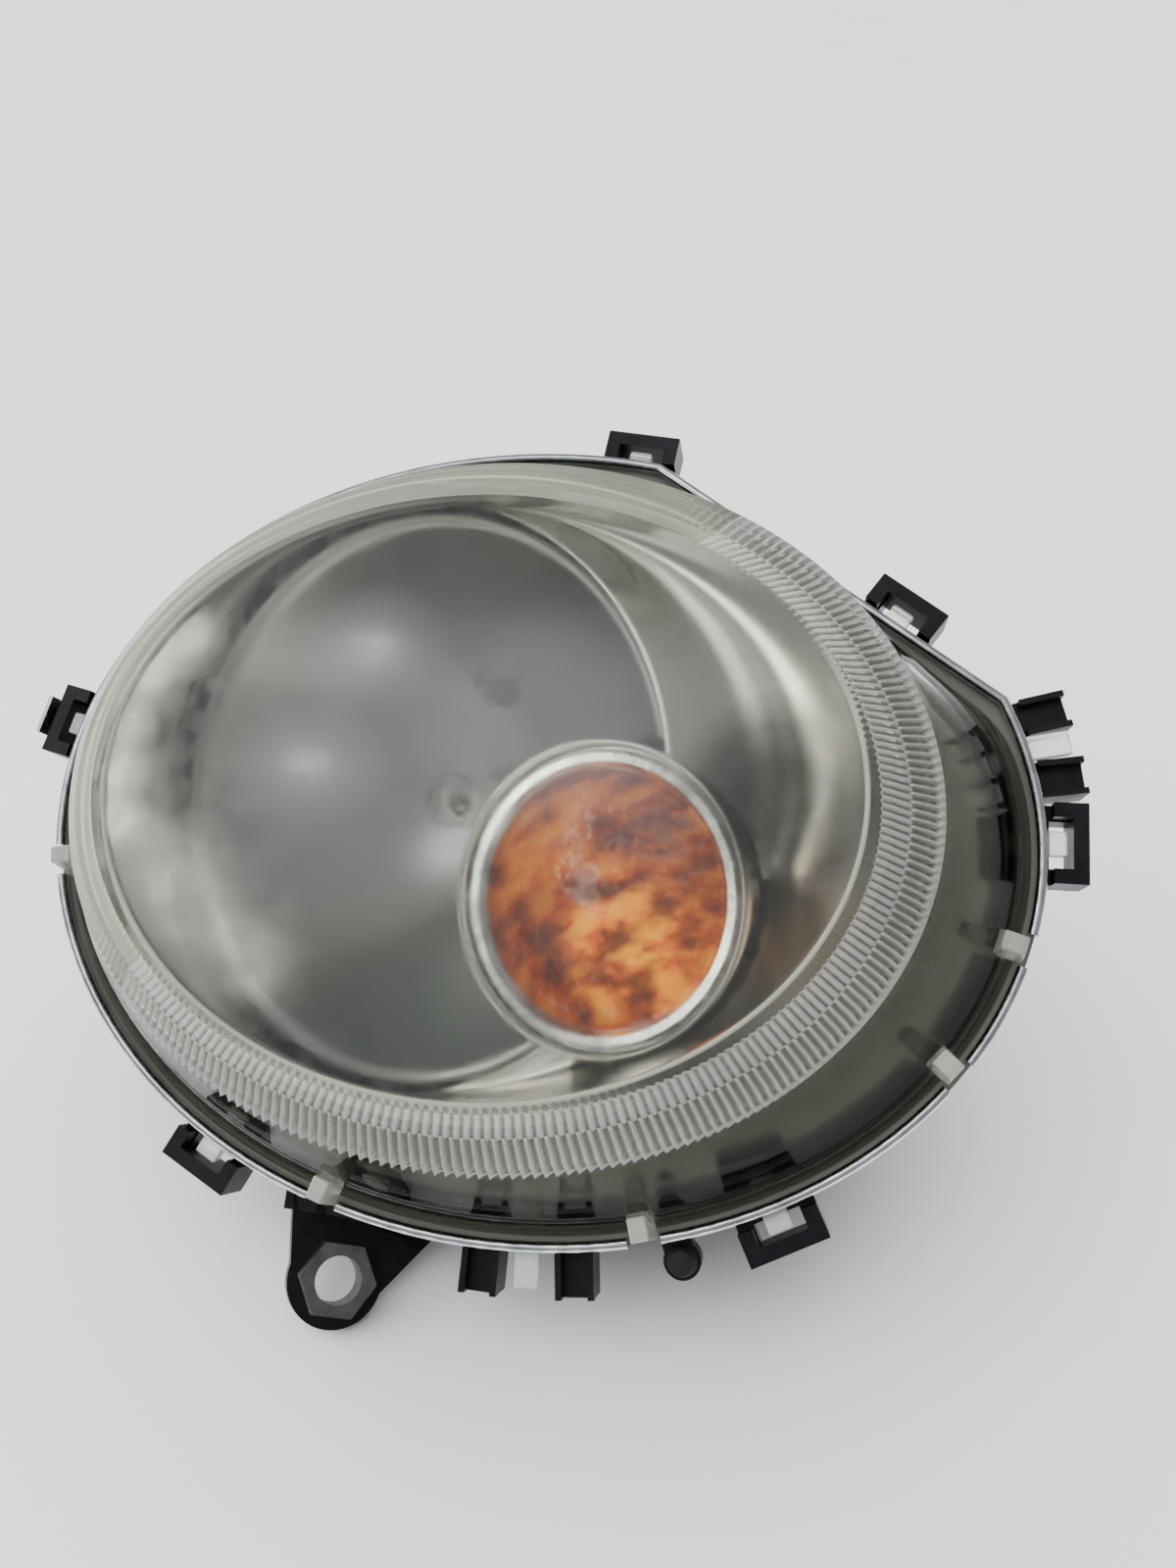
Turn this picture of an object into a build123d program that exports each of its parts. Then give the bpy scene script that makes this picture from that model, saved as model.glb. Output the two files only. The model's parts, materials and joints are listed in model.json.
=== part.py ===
"""Car headlight assembly, lying on its mounting feet with the lens tilted up.

Everything is modelled in lamp axes: the origin is the centre of the lens foot, +X runs along its
long side, +Y along its short side and +Z straight out of the lens. Each finished piece is then
laid in its resting pose, where +Z is up and the origin is the middle of the base.
"""
import math
import os
from build123d import *

os.makedirs("parts", exist_ok=True)

# ---- resting pose -------------------------------------------------------------------------
YAW, PITCH, ROLL = -15.5, 38.0, 5.5
FOOT_CENTRE = (-1.81, -9.66, 109.43)
RESTING = Location(FOOT_CENTRE) * Rotation(0, 0, YAW) * Rotation(PITCH, 0, 0) * Rotation(0, 0, ROLL)

# ---- lens ---------------------------------------------------------------------------------
FOOT_X, FOOT_Y = 145.0, 115.5
FLAT_ANGLE, FLAT_REACH = 57.1, 111.2
FLAT_LEAN = math.atan2(8.0, 40.0)
SHOULDER_X, SHOULDER_Y, SHOULDER_Z = 114.3, 92.3, 40.0
CREST_X, CREST_Y, CREST_Z = 107.4, 80.2, 48.0
CREST_CENTRE = (-2.0, -1.0)
SKIRT_MID_X, SKIRT_MID_Y, SKIRT_SETBACK = 132.0, 105.0, 4.0
DOME_RISE = 14.0
LENS_WALL = 3.0
FLANGE_TOP, FLANGE_BASE = -1.0, -5.0
FLANGE_INSET = 0.6
WEDGE_LENGTH, WEDGE_WIDTH, WEDGE_HEIGHT, WEDGE_TAPER = 9.0, 8.0, 11.0, 9.0
TONGUE_LENGTH, TONGUE_WIDTH, TONGUE_THICK, TONGUE_OUT = 9.0, 7.0, 3.5, 1.5
TAB_LENGTH, TAB_WIDTH, TAB_OUT = 14.0, 6.7, 3.0
TRIM_WIDTH, TRIM_HEIGHT, TRIM_ROUNDING = 2.8, 3.2, 1.2
TRIM_GAP_LENGTH, TRIM_GAP_WIDTH = 14.0, 9.0
SEAL_OUTSIDE, SEAL_INSIDE, SEAL_DEPTH = 7.2, 10.8, 3.2
GROOVE_CLEARANCE = 0.2

# ---- beam axis, reflector and its three ball joints ---------------------------------------
BEAM = Plane(origin=(-30.5, 4.0, 9.0), x_dir=(0.9645, -0.0405, 0.2609), z_dir=(-0.264, -0.148, 0.953))
BOWL_R, FOCAL = 78.0, 25.0
BOWL_DEPTH = BOWL_R**2 / (4 * FOCAL)
BALL_W, LEVEL_BALL_W = -32.0, -46.0
PIVOT_UV, SIDE_UV, LEVEL_UV = (-50.0, 50.0), (50.0, 50.0), (-50.0, -34.0)
BALL_R, BALL_GAP = 5.0, 0.4

# ---- turn signal --------------------------------------------------------------------------
SIGNAL_UV = (65.3, -23.1)
SIGNAL_R, SIGNAL_FOCAL = 33.5, 8.0
SIGNAL = Plane(origin=BEAM.from_local_coords(Vector(*SIGNAL_UV, 0)), x_dir=BEAM.x_dir, z_dir=BEAM.z_dir)

# ---- housing ------------------------------------------------------------------------------
HOUSING_WALL = 3.0
BOWL_SETBACK = 5.5
BOWL_MIDDLE = (-45.0, 128.0, 98.0, 0.0, 4.0)
BOWL_BACK = (-86.0, 70.0, 52.0, -16.0, 22.0)
LIP_INSET = 0.5
LOOP_DEPTH, LOOP_WIDTH, LOOP_OUT = 14.0, 22.0, 4.0
WINDOW_DEPTH, WINDOW_WIDTH, WINDOW_OUT = 5.4, 13.0, 4.4
LOOP_BAR, LOOP_BAR_OUT, LOOP_SIDE, LOOP_SIDE_OUT, LOOP_RISE = 4.0, 9.0, 8.8, 6.6, 5.0
GUIDE_DEPTH, GUIDE_WIDTH, GUIDE_OUT = 16.0, 10.4, 4.0
RIB_DEPTH, RIB_WIDTH, RIB_OUT, RIB_RISE = 12.0, 1.7, 6.23, 3.2
CHANNEL_TOP, CHANNEL_BASE = -5.2, -13.0
CAP_BOSS_R, SIGNAL_BOSS_R, MOTOR_BOSS_R = 33.0, 16.5, 18.4
MOTOR_R = 18.0
FOOT_BOSS_R, FOOT_BORE_R, INSERT_R, INSERT_THREAD_R, INSERT_LENGTH = 9.0, 5.5, 5.4, 4.0, 18.0
FOOT_RIB, FOOT_RIB_SHORTER = 3.0, 24.0
REAR_FEET = ((79.0, -33.0, -58.0), (-86.0, 4.0, -72.0))
LENS_TABS = ((140.6, 33.6, 14.5), (17.5, -114.4, -85.5))
LOOPS = ((22.5, 112.5, 84.0), (101.0, 66.6, 57.1), (144.4, 7.5, 2.0),
         (81.0, -95.5, -61.0), (-76.0, -98.0, -115.0), (-143.0, 19.0, 169.0))
CHANNELS = ((137.5, 42.0, 18.0), (142.5, 25.0, 11.0), (5.0, -115.3, -89.0), (30.0, -113.0, -82.0))
WEDGES = ((136.9, -21.2, -14.0), (122.0, -53.8, -38.0), (47.7, -104.3, -72.0),
          (-39.6, -106.4, -106.0), (-136.4, -23.0, -168.0))
PEG = (58.5, -111.8, -66.0)
PEG_R, PEG_HEAD_R, PEG_BOSS_R = 3.0, 4.2, 5.0
BRACKET_SCREWS = ((-50.0, -104.8), (-27.0, -110.0))
SOCKET = Plane(origin=(80, 40, -66), x_dir=(0, 1, 0), z_dir=(1, 0, 0))

# ---- inner bracket and its adjusting nut --------------------------------------------------
BRACKET = Plane(origin=(-37.0, -132.0, -12.0), x_dir=(0.885, -0.07, -0.461), z_dir=(0.466, 0.137, 0.874))
NUT_ACROSS_FLATS, NUT_BORE_R, NUT_SLEEVE_R = 19.0, 6.5, 8.0
NUT_BASE, NUT_HEIGHT, SLEEVE_BASE, SLEEVE_LENGTH = -5.9, 6.5, -11.5, 5.7
ARM_BASE, ARM_THICK, ARM_EYE_R, ARM_CLEARANCE = -11.0, 5.0, 13.5, 0.06
ARM_RIBS, ARM_RIB_WIDTH, ARM_RIB_HEIGHT = (15.0, 19.5), 1.6, 4.0
PAD_CENTRE, PAD_LENGTH, PAD_WIDTH, PAD_THICK = (-38.0, -107.0), 38.0, 17.0, 6.8
SCREW_PILOT_R, SCREW_R, SCREW_HEAD_R = 1.8, 1.7, 3.2


def up_axis():
    """The table's upward direction, in lamp axes."""
    return Plane(RESTING.inverse()).z_dir


UP = up_axis()


def foot_end(x, y, radius):
    """Height along Z where a foot's lower corner just meets the table."""
    lean = radius * math.sqrt(1 - UP.Z**2)
    return -(FOOT_CENTRE[2] + UP.X * x + UP.Y * y - lean) / UP.Z


def finish(piece, label):
    """Lay a finished piece in its resting pose, name it and write it."""
    piece.part = piece.part.moved(RESTING)
    piece.part.label = label
    export_step(piece.part, f"parts/{label}.step")


def foot_outline(grow):
    """The foot's outline: an ellipse with one flattened corner."""
    with Locations((0, 0)):
        Ellipse(FOOT_X + grow, FOOT_Y + grow)
    reach = FLAT_REACH + grow
    corner = (math.cos(math.radians(FLAT_ANGLE)), math.sin(math.radians(FLAT_ANGLE)))
    with Locations(Location((corner[0] * (reach + 50), corner[1] * (reach + 50), 0), (0, 0, FLAT_ANGLE))):
        Rectangle(100, 260, mode=Mode.SUBTRACT)


def foot_plate(grow, base, top, mode=Mode.ADD):
    """A plate with the foot's outline, grown or shrunk."""
    with BuildSketch(Plane.XY.offset(base)) as outline:
        foot_outline(grow)
    extrude(outline.sketch, amount=top - base, mode=mode)


def ellipses(sections):
    """A smooth solid through (z, half x, half y, centre x, centre y) ellipses."""
    outlines = []
    for z, half_x, half_y, x, y in sections:
        with BuildSketch(Plane.XY.offset(z)) as outline:
            with Locations((x, y)):
                Ellipse(half_x, half_y)
        outlines.append(outline.sketch)
    loft(outlines)


def turning(plane):
    """The plane for an outline of (radius, height) points about another plane's axis."""
    return Plane(origin=plane.origin, x_dir=plane.x_dir, z_dir=-plane.y_dir)


def turned(plane, points, mode=Mode.ADD):
    """Revolve a straight-sided outline of (radius, distance along the axis) points about a plane's axis."""
    with BuildSketch(turning(plane)) as outline:
        with BuildLine():
            Polyline(*points, close=True)
        make_face()
    revolve(outline.sketch, axis=Axis(plane.origin, plane.z_dir), mode=mode)


def tube(plane, outer, inner, low, high):
    """A plain sleeve about a plane's axis."""
    turned(plane, ((inner, low), (outer, low), (outer, high), (inner, high)))


def rod(plane, radius, low, high, mode=Mode.ADD):
    """A plain round bar about a plane's axis."""
    turned(plane, ((0, low), (radius, low), (radius, high), (0, high)), mode)


def beam_plane(u, v):
    """A plane parallel to the beam's, centred on a point across it."""
    return Plane(origin=BEAM.from_local_coords(Vector(u, v, 0)), x_dir=BEAM.x_dir, z_dir=BEAM.z_dir)


def bowl_points(radius_from, radius_to, focal, vertex, count=5):
    """Points of a parabola, from its inner to its outer radius."""
    step = (radius_to - radius_from) / (count - 1)
    radii = [radius_from + step * index for index in range(count)]
    return [(radius, vertex + radius**2 / (4 * focal)) for radius in radii]


def edge_plane(x, y, angle, z):
    """A plane at the foot's edge whose X points outward and Z points out of the lens."""
    heading = math.radians(angle)
    return Plane(origin=(x, y, z), x_dir=(math.cos(heading), math.sin(heading), 0), z_dir=(0, 0, 1))


def cut_flat(reach, lean):
    """Cut away everything past the foot's flattened corner, along a wall that leans inward."""
    heading = math.radians(FLAT_ANGLE)
    outward = Vector(math.cos(heading), math.sin(heading), 0)
    normal = outward * math.cos(lean) + Vector(0, 0, math.sin(lean))
    along = Vector(-math.sin(heading), math.cos(heading), 0)
    with BuildSketch(Plane(origin=outward * reach, x_dir=along, z_dir=normal)) as wall:
        Rectangle(400, 400)
    extrude(wall.sketch, amount=100, mode=Mode.SUBTRACT)


# ---- clear outer lens ---------------------------------------------------------------------
def lens_form(inset):
    """The lens as a solid: skirt, shoulder, fluted band and dome, drawn in by an inset."""
    ellipses((
        (FLANGE_BASE, FOOT_X - SKIRT_SETBACK - inset, FOOT_Y - SKIRT_SETBACK - inset, 0, 0),
        (SHOULDER_Z / 2, SKIRT_MID_X - inset, SKIRT_MID_Y - inset, 0, 0),
        (SHOULDER_Z - inset / 2, SHOULDER_X - inset, SHOULDER_Y - inset, 0, 0)))
    ellipses((
        (SHOULDER_Z - inset / 2, SHOULDER_X - inset, SHOULDER_Y - inset, 0, 0),
        (CREST_Z - inset, CREST_X - inset, CREST_Y - inset, *CREST_CENTRE)))
    ellipses((
        (CREST_Z - inset, CREST_X - inset, CREST_Y - inset, *CREST_CENTRE),
        (CREST_Z + 0.55 * DOME_RISE - inset, 0.72 * CREST_X, 0.72 * CREST_Y, *CREST_CENTRE),
        (CREST_Z + DOME_RISE - inset, 0.25 * CREST_X, 0.25 * CREST_Y, *CREST_CENTRE)))
    cut_flat(FLAT_REACH - SKIRT_SETBACK - inset, FLAT_LEAN)


with BuildPart() as lens_space:
    lens_form(LENS_WALL)

with BuildPart() as outer_lens:
    lens_form(0)
    foot_plate(-FLANGE_INSET, FLANGE_BASE, FLANGE_TOP)
    for x, y, angle in WEDGES:
        with BuildSketch(edge_plane(x, y, angle, FLANGE_TOP)):
            Rectangle(WEDGE_LENGTH, WEDGE_WIDTH)
        extrude(amount=WEDGE_HEIGHT, taper=WEDGE_TAPER)
    add(lens_space.part, mode=Mode.SUBTRACT)
    for x, y, angle in LOOPS:
        with BuildSketch(edge_plane(x, y, angle, FLANGE_BASE)):
            with Locations((TONGUE_OUT, 0)):
                Rectangle(TONGUE_LENGTH, TONGUE_WIDTH)
        extrude(amount=TONGUE_THICK)
    for x, y, angle in LENS_TABS:
        with BuildSketch(edge_plane(x, y, angle, FLANGE_BASE)):
            with Locations((TAB_OUT, 0)):
                Rectangle(TAB_LENGTH, TAB_WIDTH)
        extrude(amount=TONGUE_THICK)
finish(outer_lens, "outer_lens")

with BuildPart() as rim_trim:
    foot_plate(0, FLANGE_TOP, FLANGE_TOP + TRIM_HEIGHT)
    foot_plate(-TRIM_WIDTH, FLANGE_TOP, FLANGE_TOP + TRIM_HEIGHT, Mode.SUBTRACT)
    top_edges = rim_trim.edges().group_by(Axis.Z)[-1]
    fillet(top_edges, TRIM_ROUNDING)
    for x, y, angle in WEDGES:
        with BuildSketch(edge_plane(x, y, angle, FLANGE_TOP - 1)):
            Rectangle(TRIM_GAP_LENGTH, TRIM_GAP_WIDTH)
        extrude(amount=TRIM_HEIGHT + 2, mode=Mode.SUBTRACT)
finish(rim_trim, "rim_trim")

with BuildPart() as lens_seal:
    foot_plate(-SEAL_OUTSIDE, CHANNEL_TOP - SEAL_DEPTH, FLANGE_BASE)
    foot_plate(-SEAL_INSIDE, CHANNEL_TOP - SEAL_DEPTH, FLANGE_BASE, Mode.SUBTRACT)
finish(lens_seal, "lens_seal")


# ---- housing ------------------------------------------------------------------------------
def housing_form(inset):
    """The housing's bowl as a solid, drawn in by an inset."""
    middle_z, middle_x, middle_y, *middle_centre = BOWL_MIDDLE
    back_z, back_x, back_y, *back_centre = BOWL_BACK
    ellipses((
        (CHANNEL_TOP + (2 if inset else 0), FOOT_X - BOWL_SETBACK - inset, FOOT_Y - BOWL_SETBACK - inset, 0, 0),
        (middle_z, middle_x - inset, middle_y - inset, *middle_centre),
        (back_z + inset, back_x - inset, back_y - inset, *back_centre)))
    cut_flat(FLAT_REACH - BOWL_SETBACK - inset, 0)


with BuildPart() as housing_space:
    housing_form(HOUSING_WALL)

with BuildPart() as seal_groove:
    groove_base = CHANNEL_TOP - SEAL_DEPTH - GROOVE_CLEARANCE
    foot_plate(GROOVE_CLEARANCE - SEAL_OUTSIDE, groove_base, CHANNEL_TOP + 1)
    foot_plate(-GROOVE_CLEARANCE - SEAL_INSIDE, groove_base, CHANNEL_TOP + 1, Mode.SUBTRACT)

with BuildPart() as housing_body:
    housing_form(0)

with BuildPart() as housing:
    add(housing_body.part)
    foot_plate(-LIP_INSET, CHANNEL_BASE, CHANNEL_TOP)
    for x, y, angle in LOOPS:
        with BuildSketch(edge_plane(x, y, angle, CHANNEL_BASE)):
            with Locations((LOOP_OUT, 0)):
                Rectangle(LOOP_DEPTH, LOOP_WIDTH)
            with Locations((WINDOW_OUT, 0)):
                Rectangle(WINDOW_DEPTH, WINDOW_WIDTH, mode=Mode.SUBTRACT)
        extrude(amount=CHANNEL_TOP - CHANNEL_BASE)
        side = (LOOP_WIDTH - LOOP_BAR) / 2
        with BuildSketch(edge_plane(x, y, angle, CHANNEL_TOP)):
            with Locations((LOOP_BAR_OUT, 0)):
                Rectangle(LOOP_BAR, LOOP_WIDTH)
            with Locations((LOOP_SIDE_OUT, side), (LOOP_SIDE_OUT, -side)):
                Rectangle(LOOP_SIDE, LOOP_BAR)
        extrude(amount=LOOP_RISE)
    for x, y, angle in CHANNELS:
        with BuildSketch(edge_plane(x, y, angle, CHANNEL_BASE)):
            with Locations((GUIDE_OUT, 0)):
                Rectangle(GUIDE_DEPTH, GUIDE_WIDTH)
        extrude(amount=CHANNEL_TOP - CHANNEL_BASE)
        side = (GUIDE_WIDTH - RIB_WIDTH) / 2
        with BuildSketch(edge_plane(x, y, angle, CHANNEL_TOP)):
            with Locations((RIB_OUT, side), (RIB_OUT, -side)):
                Rectangle(RIB_DEPTH, RIB_WIDTH)
        extrude(amount=RIB_RISE)
    for x, y, start in REAR_FEET:
        end = foot_end(x, y, FOOT_BOSS_R)
        with Locations((x, y, (start + end) / 2)):
            Cylinder(FOOT_BOSS_R, start - end)
            Box(FOOT_RIB, 2.6 * FOOT_BOSS_R, start - end - FOOT_RIB_SHORTER)
            Box(2.6 * FOOT_BOSS_R, FOOT_RIB, start - end - FOOT_RIB_SHORTER)
    rod(BEAM, CAP_BOSS_R + 3, -114, -96)
    rod(SIGNAL, SIGNAL_BOSS_R + 3, -114, -98)
    rod(beam_plane(*LEVEL_UV), MOTOR_BOSS_R + 3, -90, -80)
    rod(beam_plane(*SIDE_UV), 8, -120, -100)
    with BuildSketch(edge_plane(*PEG, CHANNEL_BASE)):
        Circle(PEG_BOSS_R)
        with Locations((-4, 0)):
            Rectangle(8, 8)
    extrude(amount=7)
    add(housing_space.part, mode=Mode.SUBTRACT)
    add(seal_groove.part, mode=Mode.SUBTRACT)
    rod(BEAM, CAP_BOSS_R, -130, -80, Mode.SUBTRACT)
    rod(SIGNAL, SIGNAL_BOSS_R, -130, -80, Mode.SUBTRACT)
    rod(beam_plane(*LEVEL_UV), MOTOR_BOSS_R, -100, -58, Mode.SUBTRACT)
    rod(beam_plane(*LEVEL_UV), MOTOR_BOSS_R + 4, -120, -90.2, Mode.SUBTRACT)
    rod(SIGNAL, SIGNAL_BOSS_R + 3.2, -140, -114.2, Mode.SUBTRACT)
    rod(beam_plane(*SIDE_UV), 3.3, -130, -90, Mode.SUBTRACT)
    rod(beam_plane(*PIVOT_UV), 8, -95, -52)
    rod(beam_plane(*PIVOT_UV), 3, -64, -50, Mode.SUBTRACT)
    for x, y, start in REAR_FEET:
        end = foot_end(x, y, FOOT_BOSS_R)
        with Locations((x, y, end + 10)):
            Cylinder(FOOT_BORE_R, 20, mode=Mode.SUBTRACT)
    for x, y in BRACKET_SCREWS:
        with Locations((x, y, CHANNEL_BASE)):
            Cylinder(SCREW_PILOT_R, 12, mode=Mode.SUBTRACT)
    with Locations((PEG[0], PEG[1], CHANNEL_BASE)):
        Cylinder(PEG_R, 30, mode=Mode.SUBTRACT)
    with Locations(SOCKET.offset(8).location):
        Box(30, 20, 40, mode=Mode.SUBTRACT)
finish(housing, "housing")

with BuildPart() as threaded_inserts:
    for x, y, start in REAR_FEET:
        with Locations((x, y, foot_end(x, y, FOOT_BOSS_R) + 10)):
            Cylinder(INSERT_R, INSERT_LENGTH)
            Cylinder(INSERT_THREAD_R, INSERT_LENGTH, mode=Mode.SUBTRACT)
finish(threaded_inserts, "threaded_inserts")

with BuildPart() as bumper_peg:
    with BuildSketch(edge_plane(*PEG, CHANNEL_BASE)):
        Circle(PEG_R)
    extrude(amount=CHANNEL_TOP - CHANNEL_BASE + 2)
    with BuildSketch(edge_plane(*PEG, CHANNEL_TOP - 0.7)):
        Circle(PEG_HEAD_R)
    extrude(amount=5, taper=12)
finish(bumper_peg, "bumper_peg")

SPRING_PLACE = edge_plane(-144.3, 19, 169, CHANNEL_BASE - 1.4)
SPRING_THICK, SPRING_WIDTH, SPRING_REACH, SPRING_HEIGHT = 1.2, 12.0, 9.0, 16.0
with BuildPart() as spring_clip:
    with BuildSketch(SPRING_PLACE):
        with Locations((8, 0)):
            Rectangle(SPRING_REACH, SPRING_WIDTH)
    extrude(amount=SPRING_THICK)
    with BuildSketch(SPRING_PLACE):
        with Locations((12.2, 0)):
            Rectangle(SPRING_THICK, SPRING_WIDTH)
    extrude(amount=SPRING_HEIGHT)
finish(spring_clip, "spring_clip")

# ---- inner bracket and adjusting nut ------------------------------------------------------
ARM_OUTLINE = ((-13.2, 2.0), (-17.0, 23.0), (26.0, 14.0), (12.8, -3.0))
with BuildPart() as front_bracket:
    with BuildSketch(BRACKET.offset(ARM_BASE)):
        with BuildLine():
            Polyline(*ARM_OUTLINE, close=True)
        make_face()
        Circle(ARM_EYE_R)
    extrude(amount=ARM_THICK)
    with BuildSketch(BRACKET.offset(ARM_BASE + ARM_THICK)):
        for reach in ARM_RIBS:
            with Locations(Location((0.26 * reach, reach, 0), (0, 0, -12))):
                Rectangle(1.9 * reach, ARM_RIB_WIDTH)
    extrude(amount=ARM_RIB_HEIGHT)
    with BuildSketch(Plane.XY.offset(CHANNEL_BASE - 7)):
        with Locations(PAD_CENTRE):
            Rectangle(PAD_LENGTH, PAD_WIDTH)
    extrude(amount=PAD_THICK)
    with BuildSketch(BRACKET.offset(ARM_BASE)):
        Circle(NUT_SLEEVE_R + ARM_CLEARANCE)
    extrude(amount=ARM_THICK, mode=Mode.SUBTRACT)
    for x, y in BRACKET_SCREWS:
        with Locations((x, y, CHANNEL_BASE - 4)):
            Cylinder(SCREW_PILOT_R, 9, mode=Mode.SUBTRACT)
    add(housing_body.part, mode=Mode.SUBTRACT)
finish(front_bracket, "front_bracket")

with BuildPart() as adjusting_nut:
    with BuildSketch(BRACKET.offset(NUT_BASE)):
        RegularPolygon(NUT_ACROSS_FLATS / 2, 6, major_radius=False)
    extrude(amount=NUT_HEIGHT)
    with BuildSketch(BRACKET.offset(SLEEVE_BASE)):
        Circle(NUT_SLEEVE_R)
    extrude(amount=SLEEVE_LENGTH)
    with BuildSketch(BRACKET.offset(SLEEVE_BASE - 0.5)):
        Circle(NUT_BORE_R)
    extrude(amount=14, mode=Mode.SUBTRACT)
finish(adjusting_nut, "adjusting_nut")


def screw(plane, shank, head, length, head_height):
    """A pan-head screw that points along its plane's axis, head at the origin side."""
    rod(plane, head, -head_height, 0)
    rod(plane, shank, 0, length)


with BuildPart() as bracket_screws:
    for x, y in BRACKET_SCREWS:
        screw(Plane(origin=(x, y, CHANNEL_BASE - 7)), SCREW_R, SCREW_HEAD_R, 6.6, 2.2)
finish(bracket_screws, "bracket_screws")

# ---- bezel --------------------------------------------------------------------------------
BEZEL_X, BEZEL_Y, BEZEL_TOP, BEZEL_THICK = 102.0, 82.0, 38.0, 2.0
BEZEL_CENTRE = (-4.0, 3.0)
LENS_GAP = 1.0
COLLAR_R, COLLAR_WALL, COLLAR_W = BOWL_R + 3.2, 1.5, 7.5
COLLAR_LEAN = (0.1, 0, 1)
SIGNAL_COLLAR_R, SIGNAL_COLLAR_WALL, SIGNAL_NOTCH = 39.0, 2.0, 5.5

with BuildPart() as above_bezel:
    with BuildSketch(Plane.XY.offset(BEZEL_TOP)):
        Rectangle(400, 400)
    extrude(amount=150)

with BuildPart() as lens_clearance:
    lens_form(LENS_WALL + LENS_GAP)

with BuildPart() as outside_lens:
    with Locations((0, 0, 25)):
        Box(400, 400, 50)
    add(lens_clearance.part, mode=Mode.SUBTRACT)

with BuildPart() as bezel:
    with BuildSketch(Plane.XY.offset(BEZEL_TOP - BEZEL_THICK)):
        with Locations(BEZEL_CENTRE):
            Ellipse(BEZEL_X, BEZEL_Y)
    extrude(amount=BEZEL_THICK)
    with BuildSketch(BEAM.offset(COLLAR_W)):
        Circle(COLLAR_R + COLLAR_WALL)
    extrude(amount=60, dir=COLLAR_LEAN)
    with BuildSketch(BEAM.offset(COLLAR_W - 0.1)):
        Circle(COLLAR_R)
    extrude(amount=90, dir=COLLAR_LEAN, mode=Mode.SUBTRACT)
    rod(BEAM, COLLAR_R + COLLAR_WALL, -5, COLLAR_W, Mode.SUBTRACT)
    rod(SIGNAL, SIGNAL_COLLAR_R + SIGNAL_COLLAR_WALL, -1, 10)
    rod(SIGNAL, SIGNAL_COLLAR_R, -10, 40, Mode.SUBTRACT)
    add(above_bezel.part, mode=Mode.SUBTRACT)
    add(outside_lens.part, mode=Mode.SUBTRACT)
finish(bezel, "bezel")

# ---- main reflector -----------------------------------------------------------------------
PARKING, PARKING_HOLE_R = beam_plane(0, 38), 6.0
BULB_HOLE_R, SEAT_R, COLLAR_SEAT = 13.0, 24.0, -67.0
RIM_WIDTH, RIM_THICK, BOWL_BACK_GAP = 2.5, 2.0, 3.5
FORK_HALF_GAP, FORK_THICK, FORK_WIDTH, FORK_HEIGHT, TRUNNION_R = 10.4, 3.6, 14.0, 30.0, 3.0

with BuildPart() as bowl_space:
    turned(BEAM, [(0, -BOWL_DEPTH)] + bowl_points(2, BOWL_R, FOCAL, -BOWL_DEPTH, 7) + [(BOWL_R, 30), (0, 30)])


def at_beam(u, v, w):
    """A place given across and along the beam."""
    return BEAM.location * Location((u, v, w))


def ball_lug(u, v, w, half_width, pocket):
    """A block behind the bowl with a round pocket open to the rear."""
    with Locations(at_beam(u, v, w + 8)):
        Box(2 * half_width, 2 * half_width, 26)
    with Locations(at_beam(u, v, w)):
        Sphere(pocket, mode=Mode.SUBTRACT)
    with Locations(at_beam(u, v, w - 5)):
        Cylinder(pocket - 0.6, 10, mode=Mode.SUBTRACT)


with BuildPart() as main_reflector:
    outer = bowl_points(SEAT_R + 2, BOWL_R + 1, FOCAL, -BOWL_DEPTH - BOWL_BACK_GAP)
    inner = bowl_points(BULB_HOLE_R, BOWL_R, FOCAL, -BOWL_DEPTH, 7)
    turned(BEAM, inner + [(BOWL_R + RIM_WIDTH, 0), (BOWL_R + RIM_WIDTH, -RIM_THICK)] + outer[::-1]
           + [(SEAT_R, COLLAR_SEAT), (BULB_HOLE_R, COLLAR_SEAT)])
    ball_lug(*LEVEL_UV, LEVEL_BALL_W, 8, BALL_R + 2.5 * BALL_GAP)
    ball_lug(*SIDE_UV, BALL_W, 9, BALL_R + 1 + BALL_GAP)
    with Locations(at_beam(*SIDE_UV, BALL_W + 10)):
        Cylinder(4.5, 16, mode=Mode.SUBTRACT)
    for side in (-1, 1):
        with Locations(at_beam(PIVOT_UV[0] + side * FORK_HALF_GAP, PIVOT_UV[1], BALL_W + 7)):
            Box(FORK_THICK, FORK_WIDTH, FORK_HEIGHT)
        with Locations(at_beam(PIVOT_UV[0] + side * FORK_HALF_GAP, PIVOT_UV[1], BALL_W) * Rotation(0, 90, 0)):
            Cylinder(TRUNNION_R + 0.06, 5, mode=Mode.SUBTRACT)
    add(bowl_space.part, mode=Mode.SUBTRACT)
    rod(SIGNAL, SIGNAL_COLLAR_R + SIGNAL_NOTCH, -80, 20, Mode.SUBTRACT)
    rod(PARKING, PARKING_HOLE_R, -80, 0, Mode.SUBTRACT)
finish(main_reflector, "main_reflector")

# ---- headlight bulb, plug and spring clip -------------------------------------------------
with BuildPart() as bulb_glass:
    turned(BEAM, ((0, -17), (5, -18.5), (8.3, -22), (8.3, -60), (7.3, -60), (7.3, -22.5), (4.4, -19.6),
                  (0, -18.2)))
finish(bulb_glass, "bulb_glass")

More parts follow.
